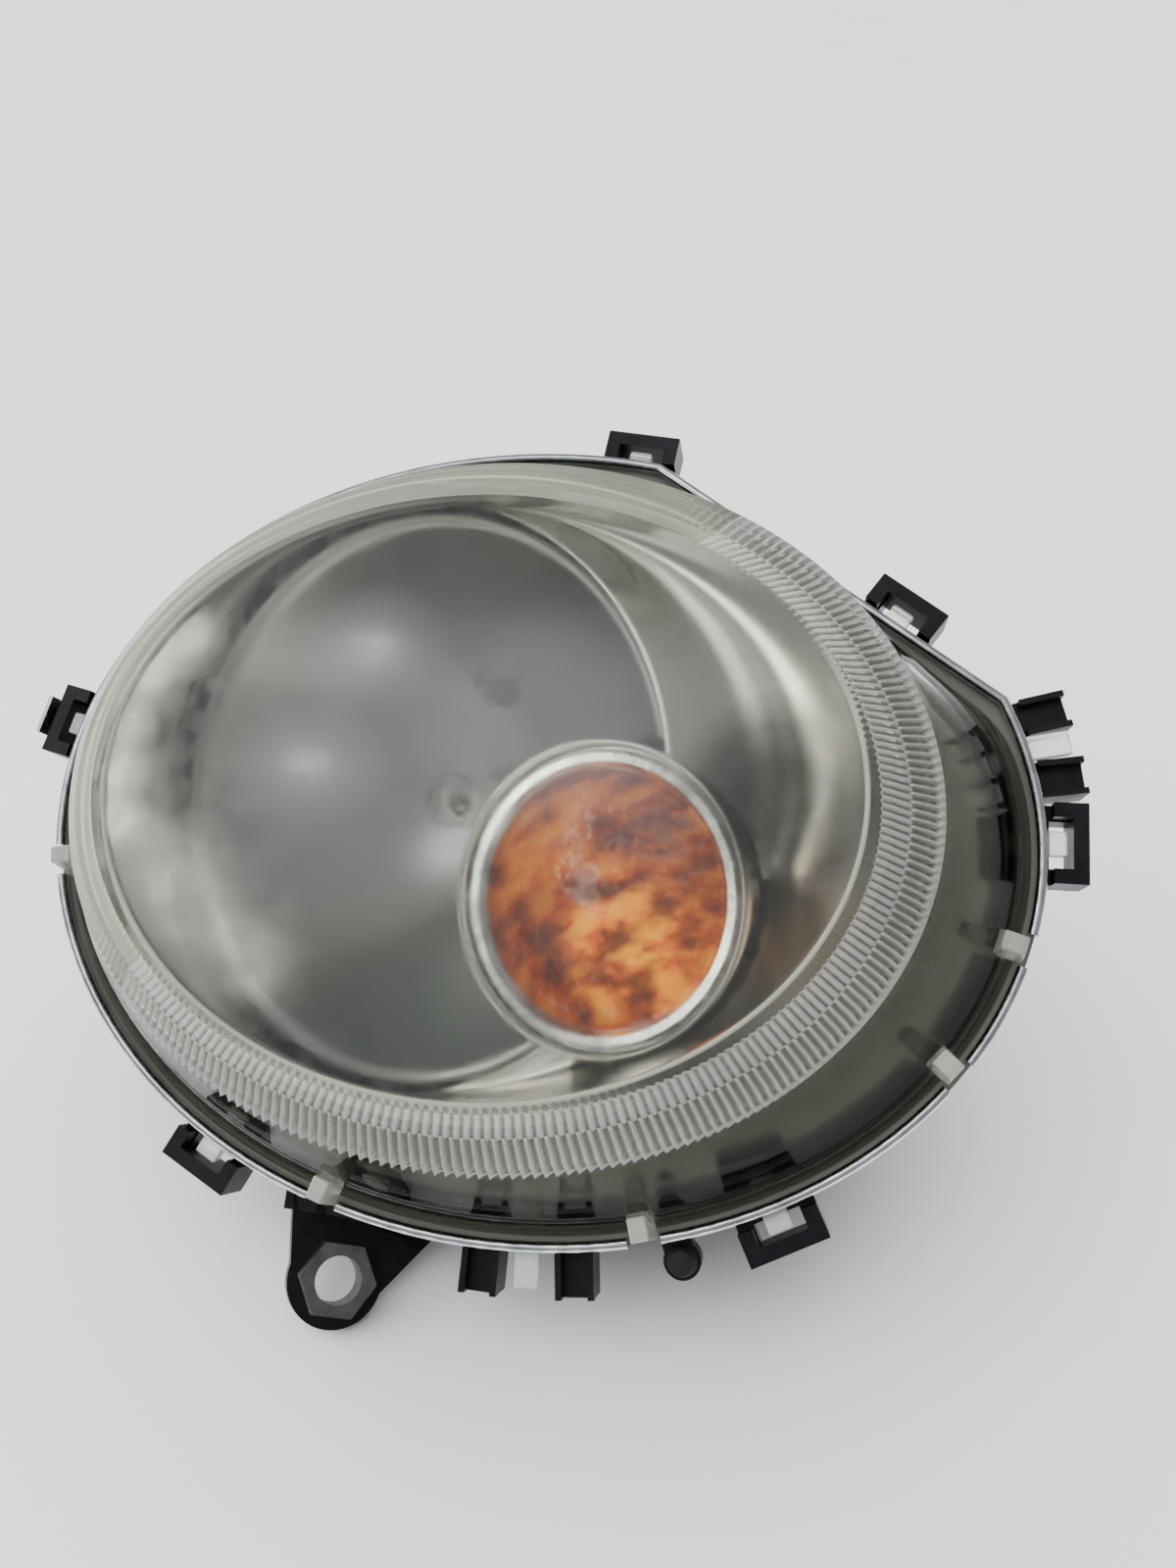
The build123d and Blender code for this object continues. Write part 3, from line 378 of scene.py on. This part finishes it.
# painted shade beside the turn signal, standing in for dark reflections in the bezel's dish, and a painted
# warm reflection of the amber: centre, radius and how much colour is left at each share of it
BEZEL_PAINTED_SHADE_AND_REFLECTION = (
    ((76.0, 5.0, 31.0), 38.0, ((0.3, 0.15), (0.55, 0.36), (0.8, 1.0))),
    ((82.7, -26.0, 36.0), 26.0, ((0.2, (1.0, 0.78, 0.66)), (1.0, 1.0))),
    ((58.0, -64.0, 32.0), 36.0, ((0.3, 0.34), (1.0, 1.0))),
)
# multiply the painted shade and the painted amber reflection into the bezel's colour
for patch_centre, patch_radius, patch_shades in BEZEL_PAINTED_SHADE_AND_REFLECTION:
    shaded(MATERIALS["silver_bezel"], patch_centre, patch_radius, patch_shades)

SLOTS = {part["node"]: part["material_slot"] for part in frame["record"]["subparts"]}
for node_name, node_object in frame["nodes"].items():
    node_object.data.materials.clear()
    node_object.data.materials.append(MATERIALS[SLOTS[node_name]])

# ---- clear outer lens ---------------------------------------------------------------------
TEETH = 264
LENS_STEPS = TEETH * 8
LENS_TURN = np.linspace(0, 2 * math.pi, LENS_STEPS, endpoint=False)
LENS_CENTRE = (-1.5, -1.0)
DOME_X, DOME_Y, DOME_EDGE_Z, DOME_RISE = 99.0, 76.5, 53.0, 9.0
SHOULDER_X, SHOULDER_Y, SHOULDER_Z = 114.3, 92.5, 38.0
SKIRT_FOOT_INSET, SKIRT_FOOT_Z, SKIRT_SWELL, SKIRT_LEAN = 4.0, -1.0, 1.2, 8.0
LENS_WALL = 2.6
INNER_TOOTH, OUTER_TOOTH, INNER_SLANT = 0.34, 0.8, 1.6
TOOTH_LIFT = 0.5
FLUTES_FADE_OUT, FLUTES_FADE_IN = (50, 68), (208, 232)
FLANGE_OUTLINE = ((3.4, -1.0), (0.8, -1.0), (0.6, -1.3), (0.6, -4.7), (0.9, -5.0), (7.0, -5.0))


def dome_ring(fraction, drop=0.0):
    """An oval ring of the dome, from its middle (0) to its edge (1)."""
    height = DOME_EDGE_Z + DOME_RISE * (1 - fraction**2) - drop
    return oval(DOME_X * fraction, DOME_Y * fraction, height, LENS_TURN, LENS_CENTRE)


def smoothed(value, low, high):
    """A soft step from 0 at low to 1 at high."""
    share = np.clip((value - low) / (high - low), 0, 1)
    return share * share * (3 - 2 * share)


def flute_strength():
    """1 where the band is fluted, 0 on its plain upper-left part."""
    degrees = np.degrees(LENS_TURN)
    return 1 - smoothed(degrees, *FLUTES_FADE_OUT) * (1 - smoothed(degrees, *FLUTES_FADE_IN))


def tooth_wave(slant):
    """1 on each tooth's ridge, -1 in the gap beside it, fading to 0 where the band is plain."""
    return (1 - np.abs(np.sin(TEETH / 2 * LENS_TURN + slant)) * 2) * flute_strength()


def fluted_ring(half_x, half_y, z, depth, slant=0.0, centre=LENS_CENTRE):
    """An oval ring whose radius ripples once per tooth."""
    ripple = depth * tooth_wave(slant)
    ring = oval(half_x, half_y, z, LENS_TURN, centre)
    outward = np.stack((np.cos(LENS_TURN), np.sin(LENS_TURN)), axis=1)
    ring[:, :2] += outward * ripple[:, None]
    ring[:, 2] += TOOTH_LIFT * ripple
    return ring


def skirt_ring(share, inset=0.0):
    """A ring of the skirt, from the foot (0) to the shoulder (1)."""
    foot = foot_ring(SKIRT_FOOT_INSET + inset, SKIRT_FOOT_Z, LENS_TURN)
    shoulder = oval(SHOULDER_X - inset, SHOULDER_Y - inset, SHOULDER_Z, LENS_TURN)
    ring = foot * (1 - share) + shoulder * share
    ring[:, 2] += SKIRT_SWELL * math.sin(math.pi * share)
    return flattened(ring, FLAT_REACH - SKIRT_FOOT_INSET - inset - SKIRT_LEAN * share)


def band_rows():
    """The band's rows from the dome out: half sizes, height, tooth depth and slant."""
    rows = [(99.4, 77.0, 52.7, 0.0, 0.0), (99.8, 77.3, 52.5, 0.1, 0.2)]
    for share in np.linspace(0, 1, 6):
        rows.append((100.2 + 6.6 * share, 77.6 + 5.4 * share, 52.2 - 4.2 * share,
                     INNER_TOOTH, INNER_SLANT * share))
    rows.append((107.1, 83.1, 47.85, 0.1, 0.0))
    for share in np.linspace(0, 1, 5):
        rows.append((107.4 + 4.6 * share, 83.4 + 5.7 * share, 47.6 - 4.7 * share, OUTER_TOOTH, 0.0))
    for share in np.linspace(0, 1, 4):
        rows.append((112.4 + 1.4 * share, 89.9 + 2.1 * share, 42.5 - 2.9 * share, OUTER_TOOTH, 0.0))
    return rows


def build_lens():
    """One closed shell: dome, fluted band, skirt and foot flange outside, a plain wall inside."""
    rings = [dome_ring(fraction) for fraction in np.linspace(0.01, 0.985, 26)]
    band_start = len(rings) + 1
    ridges = [np.ones(LENS_STEPS)] * len(rings)
    for half_x, half_y, z, depth, slant in band_rows():
        rings.append(fluted_ring(half_x, half_y, z, depth, slant))
        ridges.append(np.clip(0.5 + 0.5 * tooth_wave(slant), 0, 1))
    band_end = len(rings)
    rings.append(fluted_ring(114.2, 92.4, 39.0, 0.0, centre=(0, 0)))
    rings += [skirt_ring(share) for share in np.linspace(0.98, 0.0, 16)]
    flange_start = len(rings) - 1
    rings += [foot_ring(inset, z, LENS_TURN) for inset, z in FLANGE_OUTLINE]
    flange_end = len(rings) - 1
    rings += [skirt_ring(share, LENS_WALL) for share in np.linspace(0.0, 0.97, 12)]
    skirt_end = len(rings) + 1
    rings += [oval(110.5, 88.0, 40.5, LENS_TURN, LENS_CENTRE),
              oval(105.0, 81.5, 45.4, LENS_TURN, LENS_CENTRE)]
    rings += [dome_ring(fraction, LENS_WALL) for fraction in np.linspace(1.0, 0.01, 24)]

    lens = ringed("lens_clear_shell", rings, MATERIALS["clear_lens"], caps=(True, True))
    for slot in ("lens_flutes", "lens_band", "lens_skirt", "lens_flange"):
        lens.data.materials.append(MATERIALS[slot])
    ridge = np.ones(len(lens.data.vertices))
    heights = np.concatenate(ridges)
    ridge[:len(heights)] = heights
    attribute = lens.data.attributes.new("ridge", "FLOAT", "POINT")
    attribute.data.foreach_set("value", ridge)

    zone = np.zeros((len(lens.data.polygons) // LENS_STEPS, LENS_STEPS), int)
    zone[band_start:band_end] = np.where(flute_strength() > 0.5, 1, 2)
    zone[band_end:skirt_end] = 3
    zone[flange_start:flange_end] = 4
    caps = np.zeros(len(lens.data.polygons) - zone.size, int)
    lens.data.polygons.foreach_set("material_index", np.concatenate((zone.ravel(), caps)).tolist())
    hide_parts("outer_lens")


# places round the foot: x, y and the angle that faces outward
LOOP_PLACES = ((22.5, 112.5, 84), (101, 66.6, 57.1), (144.4, 7.5, 2),
               (81, -95.5, -61), (-76, -98, -115), (-143, 19, 169))
TAB_PLACES = ((140.6, 33.6, 14.5), (17.5, -114.4, -85.5))
WEDGE_PLACES = ((136.9, -21.2, -14), (122, -53.8, -38), (47.7, -104.3, -72),
                (-39.6, -106.4, -106), (-136.4, -23, -168))


# reach inward and outward, half width, bottom, top, and how far the top draws in
TONGUE = (-2.5, 5.7, 3.4, -4.9, -1.6, 0.0)
TAB = (-2.5, 9.8, 3.3, -4.9, -1.6, 0.0)
WEDGE = (-5.0, 3.6, 3.6, -1.2, 9.0, 1.2)
BLOCK_ROUNDING = 0.0006


def edge_block(name, place, size, material):
    """A rounded block of the lens's plastic at the edge of its foot."""
    x, y, angle = place
    near, far, half_width, bottom, top, pull = size
    outward = np.array((math.cos(math.radians(angle)), math.sin(math.radians(angle)), 0))
    across = np.array((-outward[1], outward[0], 0))
    corners = []
    for height, shrink in ((bottom, 0.0), (top, pull)):
        for reach, side in ((near + shrink, -1), (far - shrink, -1), (far - shrink, 1), (near + shrink, 1)):
            corners.append(np.array((x, y, 0)) + outward * reach + across * side * (half_width - shrink)
                           + np.array((0, 0, height)))
    faces = [(0, 3, 2, 1), (4, 5, 6, 7), (0, 1, 5, 4), (1, 2, 6, 5), (2, 3, 7, 6), (3, 0, 4, 7)]
    block = new_object(name, corners, faces, material, smooth=False)
    bevel = block.modifiers.new("edges", "BEVEL")
    bevel.width = BLOCK_ROUNDING
    bevel.segments = 3


def build_blocks():
    """The lens's tongues in the snap loops, its tabs between the guides, and its wedges."""
    for label, places, size in (("tongue", LOOP_PLACES, TONGUE), ("tab", TAB_PLACES, TAB),
                                ("wedge", WEDGE_PLACES, WEDGE)):
        for number, place in enumerate(places):
            edge_block(f"lens_{label}_{number + 1}", place, size, MATERIALS["lug_plastic"])


# ---- bezel --------------------------------------------------------------------------------
BEZEL_STEPS = 720
BEZEL_TURN = np.linspace(0, 2 * math.pi, BEZEL_STEPS, endpoint=False)
BEZEL_EDGE_X, BEZEL_EDGE_Y, BEZEL_EDGE_Z, BEZEL_EDGE_CENTRE = 100.0, 80.3, 41.0, (-5.0, 3.6)
BEZEL_SKIRT_INSET, BEZEL_SKIRT_Z, BEZEL_SKIRT_RISE = 7.1, -3.5, 39.5
BEZEL_RIM_R, BEZEL_RIM_W, BEZEL_LIP_W = 82.0, 7.2, 6.9
DISH_SINK, DISH_SINK_WIDTH = 9.0, 50.0
COLLAR_PROFILE = ((39.1, -1), (40.4, -1), (40.6, 8.6), (40.2, 9.3), (39.5, 9.3), (39.1, 8.6))
EDGE_THICK, EDGE_STEPS = 0.75, 12


def beam_ring(radius, w, turn, centre=(0.0, 0.0)):
    """A round ring across the beam."""
    u, v = centre[0] + radius * np.cos(turn), centre[1] + radius * np.sin(turn)
    return beam(u, v, np.full(len(turn), w))


def build_bezel_skirt():
    """The smoked wall behind the lens's skirt."""
    rings = []
    for share in np.linspace(0, 1, 10):
        foot = foot_ring(BEZEL_SKIRT_INSET, BEZEL_SKIRT_Z, BEZEL_TURN)
        ring = foot * (1 - share) + oval(109.0, 87.0, 36.0, BEZEL_TURN) * share
        ring[:, 2] = BEZEL_SKIRT_Z + BEZEL_SKIRT_RISE * share
        rings.append(flattened(ring, FLAT_REACH - 7.4 - 10.6 * share))
    rings.append(oval(105.0, 84.0, 38.6, BEZEL_TURN, (-2.6, 2.0)))
    skirt = ringed("bezel_skirt", rings, MATERIALS["smoked_skirt"])


def dish_rings():
    """The dish from outside its bright edge, sinking to the lip round the main reflector."""
    edge = oval(BEZEL_EDGE_X, BEZEL_EDGE_Y, BEZEL_EDGE_Z, BEZEL_TURN, BEZEL_EDGE_CENTRE)
    rim = beam_ring(BEZEL_RIM_R, BEZEL_RIM_W, BEZEL_TURN)
    rings = [oval(104.5, 83.6, 39.6, BEZEL_TURN, (-3.0, 2.2)),
             oval(101.6, 81.6, 41.2, BEZEL_TURN, (-4.6, 3.2)),
             oval(100.8, 81.0, 41.6, BEZEL_TURN, BEZEL_EDGE_CENTRE), edge]
    for share in np.linspace(0.04, 1.0, 22):
        ring = edge * (1 - share) + rim * share
        width = np.clip((edge[:, 0] - rim[:, 0]) / DISH_SINK_WIDTH, 0, 1)
        ring[:, 2] -= DISH_SINK * math.sin(math.pi * share) * width
        rings.append(ring)
    rings.append(beam_ring(BEZEL_RIM_R, BEZEL_LIP_W, BEZEL_TURN))
    return rings


def build_bezel():
    """A silver dish with a hole for the turn signal, a collar round it and a bright upper edge, whose pale
    colour is a painted highlight.
    """
    rings = dish_rings()
    points = np.concatenate(rings)
    offset = points - BEAM_ORIGIN
    across, along = offset @ BEAM_U - SIGNAL_UV[0], offset @ BEAM_V - SIGNAL_UV[1]
    reach = np.hypot(across, along)
    inside = reach < SIGNAL_HOLE_R
    faces = [face for face in ring_faces(len(rings), BEZEL_STEPS) if not all(inside[i] for i in face)]
    push = np.where(inside, SIGNAL_HOLE_R / np.maximum(reach, 1) - 1, 0)
    points += (across * push)[:, None] * BEAM_U + (along * push)[:, None] * BEAM_V
    dish = new_object("bezel_dish", points, faces, MATERIALS["silver_bezel"])
    collar = turned("signal_collar", COLLAR_PROFILE, SIGNAL_UV, MATERIALS["silver_bezel"])
    # the upper edge's roll is pale plastic rather than silver: a painted highlight along the real lip
    lips = []
    for turn in np.linspace(0, 2 * math.pi, EDGE_STEPS, endpoint=False):
        out, up = EDGE_THICK * math.cos(turn), EDGE_THICK * math.sin(turn)
        lips.append(oval(BEZEL_EDGE_X + 0.6 + out, BEZEL_EDGE_Y + 0.6 + out, BEZEL_EDGE_Z + 0.9 + up,
                         BEZEL_TURN, BEZEL_EDGE_CENTRE))
    bright_edge = ringed("bezel_edge", lips, MATERIALS["bright_edge"], close=True)
    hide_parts("bezel")


CUTTER_STEPS, CUTTER_START = 160, -90.0


def cut_by_cylinder(obj, centre, radius, reach):
    """Cut a round hole along the beam through a piece, and bake the result into its mesh."""
    angle = np.linspace(0, 2 * math.pi, CUTTER_STEPS, endpoint=False)
    ends = [beam_ring(radius, w, angle, centre) for w in (CUTTER_START, reach)]
    cutter = ringed("cutter", ends, MATERIALS["black_rubber"], caps=(True, True))
    boolean = obj.modifiers.new("hole", "BOOLEAN")
    boolean.operation = "DIFFERENCE"
    boolean.solver = "EXACT"
    boolean.object = cutter
    apply_modifiers(obj)
    bpy.data.objects.remove(cutter, do_unlink=True)


def apply_modifiers(obj):
    """Replace an object's mesh with its evaluated one."""
    bpy.context.view_layer.update()
    evaluated = obj.evaluated_get(bpy.context.evaluated_depsgraph_get())
    mesh = bpy.data.meshes.new_from_object(evaluated)
    obj.modifiers.clear()
    obj.data = mesh


# ---- main reflector -----------------------------------------------------------------------
BOWL_STEPS, BOWL_EYE_R, BOWL_WALL = 360, 13.0, 2.2
BOWL_LIP_OUT, BOWL_LIP_DROP = 2.4, 1.6
BOWL_SIGNAL_HOLE_R, BOWL_CUT_TOP = 43.5, 30.0


def build_reflector():
    """A paraboloid bowl with a rolled lip, cut away where the turn signal stands."""
    turn = np.linspace(0, 2 * math.pi, BOWL_STEPS, endpoint=False)
    radii = np.linspace(BOWL_EYE_R, BOWL_R, 40)
    inner = [(r, r * r / (4 * FOCAL) - BOWL_DEPTH) for r in radii]
    outer = [(r + 1.2, w - BOWL_WALL) for r, w in inner[::-1]]
    lip = [(BOWL_R + BOWL_LIP_OUT * math.sin(t), BOWL_LIP_DROP * (1 - math.cos(t)))
           for t in np.linspace(0.3, 1.5, 6)]
    profile = inner + lip + [(BOWL_R + BOWL_LIP_OUT, -BOWL_LIP_DROP)] + outer
    rings = [beam_ring(r, w, turn) for r, w in profile]
    bowl = ringed("reflector_bowl", rings, MATERIALS["mirror_bowl"], "reflector", close=True)
    cut_by_cylinder(bowl, SIGNAL_UV, BOWL_SIGNAL_HOLE_R, BOWL_CUT_TOP)
    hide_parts("main_reflector")


# ---- amber lens of the turn signal --------------------------------------------------------
AMBER_STEPS = 288
AMBER_OUTER_BASE, AMBER_OUTER_RISE = 2.4, 8.4
AMBER_INNER_BASE, AMBER_INNER_RISE = 0.6, 6.6
PILLOW_PITCH, PILLOW_SLANT, PILLOW_HEIGHT = 0.75, 0.35, 1.1


def build_amber():
    """The turn signal's amber lens: a smooth dome outside and moulded pillows inside."""
    turn = np.linspace(0, 2 * math.pi, AMBER_STEPS, endpoint=False)

    def ring(radius, w, pillow=0.0):
        u, v = radius * np.cos(turn), radius * np.sin(turn)
        slanted = v + PILLOW_SLANT * u
        lift = pillow * np.abs(np.sin(u * PILLOW_PITCH) * np.sin(slanted * PILLOW_PITCH))
        return beam(SIGNAL_UV[0] + u, SIGNAL_UV[1] + v, w + lift)

    def dome(radius, base, rise):
        return base + rise * (1 - (radius / SIGNAL_R) ** 2)

    rings = [ring(r, dome(r, AMBER_OUTER_BASE, AMBER_OUTER_RISE))
             for r in np.linspace(0.2, SIGNAL_R - 0.4, 34)]
    rings += [ring(SIGNAL_R, 2.6), ring(SIGNAL_R, 2.3), ring(SIGNAL_R - 1.4, 2.3)]
    rings += [ring(r, dome(r, AMBER_INNER_BASE, AMBER_INNER_RISE), PILLOW_HEIGHT)
              for r in np.linspace(SIGNAL_R - 2, 0.2, 70)]
    amber = ringed("amber_lens", rings, MATERIALS["amber_lens"], caps=(True, True))
    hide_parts("turn_lens")


# ---- camera, floor and light --------------------------------------------------------------
CAMERA_FROM_FOOT = Vector((0.0203, -0.2520, 0.2261))
CAMERA_TILT, CAMERA_LENS, SENSOR_WIDTH = 50.0, 27.0, 36.0
FLOOR_R, FLOOR_STEPS = 4.0, 96
SUN_STRENGTH, SUN_SPREAD, SUN_COLOUR = 5.6, 110.0, (1.0, 0.985, 0.96)
SUN_HEADING = (0.45, -0.35, -1.0)
ROOM_DARK, ROOM_PALE, BACKDROP = (0.3, 0.315, 0.325), (0.88, 0.91, 0.94), (0.88, 0.9, 0.93)


def build_camera():
    """The camera looks down at the lens from in front of the lamp."""
    data = bpy.data.cameras.new("camera")
    data.sensor_width = SENSOR_WIDTH
    data.lens = CAMERA_LENS
    data.clip_start = 0.01
    camera = bpy.data.objects.new("camera", data)
    camera.location = FOOT + CAMERA_FROM_FOOT
    camera.rotation_euler = (math.radians(CAMERA_TILT), 0, 0)
    bpy.context.collection.objects.link(camera)
    bpy.context.scene.camera = camera


def floor_material():
    """A pale painted floor with a faint cloud of tone."""
    material, tree, shader = node_material("pale_floor")
    shader.inputs["Roughness"].default_value = 0.6
    cloud = noise(tree, 3.0, detail=3.0)
    tones = ((0.3, (0.86, 0.865, 0.87)), (0.7, (0.9, 0.9, 0.905)))
    tree.links.new(ramp(tree, cloud, tones), shader.inputs["Base Color"])
    return material


def build_stage():
    """A round floor, the room's light and a wide soft sun."""
    angle = np.linspace(0, 2 * math.pi, FLOOR_STEPS, endpoint=False)
    vertices = [(FLOOR_R * math.cos(a), FLOOR_R * math.sin(a), 0) for a in angle]
    mesh = bpy.data.meshes.new("floor")
    mesh.from_pydata(vertices, [], [tuple(range(FLOOR_STEPS))])
    mesh.materials.append(floor_material())
    floor = bpy.data.objects.new("floor", mesh)
    bpy.context.collection.objects.link(floor)

    build_world()
    sun = bpy.data.lights.new("soft_daylight", "SUN")
    sun.energy = SUN_STRENGTH
    sun.angle = math.radians(SUN_SPREAD)
    sun.color = SUN_COLOUR
    daylight = bpy.data.objects.new("soft_daylight", sun)
    daylight.rotation_euler = Vector(SUN_HEADING).to_track_quat("-Z", "Y").to_euler()
    daylight.visible_glossy = False
    daylight.visible_transmission = False
    bpy.context.collection.objects.link(daylight)


# ---- the room's light, by direction -------------------------------------------------------
HOOK_LIGHT = (16.0, 15.6, 14.2)
STREAK_LIGHT = (5.0, 4.9, 4.4)
SPOT_LIGHT = (1.3, 1.4, 1.55)
CORE_LIGHT = (6.0, 6.3, 6.9)
# window glows: direction, the angles (degrees) where each is full and where it ends, and its light
GLOWS = (
    ((-0.74, 0.12, 0.66), 1.2, 3.4, HOOK_LIGHT), ((-0.79, 0.07, 0.61), 1.2, 3.4, HOOK_LIGHT),
    ((-0.83, -0.01, 0.56), 1.2, 3.4, HOOK_LIGHT), ((-0.85, -0.1, 0.52), 1.2, 3.4, HOOK_LIGHT),
    ((-0.86, -0.19, 0.48), 1.2, 3.4, HOOK_LIGHT), ((-0.82, -0.3, 0.49), 2.0, 6.0, STREAK_LIGHT),
    ((-0.79, -0.4, 0.46), 2.0, 6.0, STREAK_LIGHT), ((-0.73, -0.52, 0.44), 2.0, 6.0, STREAK_LIGHT),
    ((-0.51, -0.02, 0.86), 0.2, 9.0, SPOT_LIGHT), ((-0.63, -0.24, 0.74), 0.2, 9.0, SPOT_LIGHT),
    ((-0.51, -0.02, 0.86), 0.2, 3.0, CORE_LIGHT), ((-0.63, -0.24, 0.74), 0.2, 2.6, CORE_LIGHT),
    ((-0.36, -0.36, 0.86), 4.0, 30.0, (0.4, 0.4, 0.38)),
    ((-0.25, -0.24, 0.94), 1.0, 17.0, (1.5, 1.58, 1.68)),
)


def span(tree, source, low, high):
    """A soft step from 0 at low to 1 at high."""
    node = tree.nodes.new("ShaderNodeMapRange")
    node.interpolation_type = "SMOOTHSTEP"
    node.inputs["From Min"].default_value = low
    node.inputs["From Max"].default_value = high
    tree.links.new(source, node.inputs["Value"])
    return node.outputs["Result"]


def glow_share(tree, coords, direction, narrow, wide):
    """1 within the narrow angle of a direction, 0 beyond the wide one."""
    node = tree.nodes.new("ShaderNodeVectorMath")
    node.operation = "DOT_PRODUCT"
    node.inputs[1].default_value = Vector(direction).normalized()
    tree.links.new(coords, node.inputs[0])
    return span(tree, node.outputs["Value"], math.cos(math.radians(wide)), math.cos(math.radians(narrow)))


def mixed(tree, base, share, colour, blend):
    """A colour mixed over or added to a base, by a share."""
    node = tree.nodes.new("ShaderNodeMix")
    node.data_type = "RGBA"
    node.blend_type = blend
    low, high = [socket for socket in node.inputs if socket.type == "RGBA"]
    tree.links.new(share, node.inputs[0])
    tree.links.new(base, low)
    high.default_value = (*colour, 1)
    return next(socket for socket in node.outputs if socket.type == "RGBA")


def build_world():
    """A room's light by direction: a pale wall behind, a darker room on the camera's side."""
    world = bpy.data.worlds.new("studio")
    bpy.context.scene.world = world
    world.use_nodes = True
    tree = world.node_tree
    background = tree.nodes["Background"]
    coords = tree.nodes.new("ShaderNodeTexCoord").outputs["Generated"]
    axes = tree.nodes.new("ShaderNodeSeparateXYZ")
    tree.links.new(coords, axes.inputs["Vector"])
    behind, low = span(tree, axes.outputs["Y"], -0.3, 0.7), span(tree, axes.outputs["Z"], 0.95, 0.2)
    shade = ramp(tree, maths(tree, "MULTIPLY", behind, low), ((0.0, ROOM_DARK), (1.0, ROOM_PALE)))
    for direction, narrow, wide, colour in GLOWS:
        shade = mixed(tree, shade, glow_share(tree, coords, direction, narrow, wide), colour, "ADD")
    seen = tree.nodes.new("ShaderNodeLightPath").outputs["Is Camera Ray"]
    tree.links.new(mixed(tree, shade, seen, BACKDROP, "MIX"), background.inputs["Color"])
    background.inputs["Strength"].default_value = 1.0


# ---- the scene ----------------------------------------------------------------------------
build_lens()
build_blocks()
build_bezel_skirt()
build_bezel()
build_reflector()
build_amber()
build_camera()
build_stage()
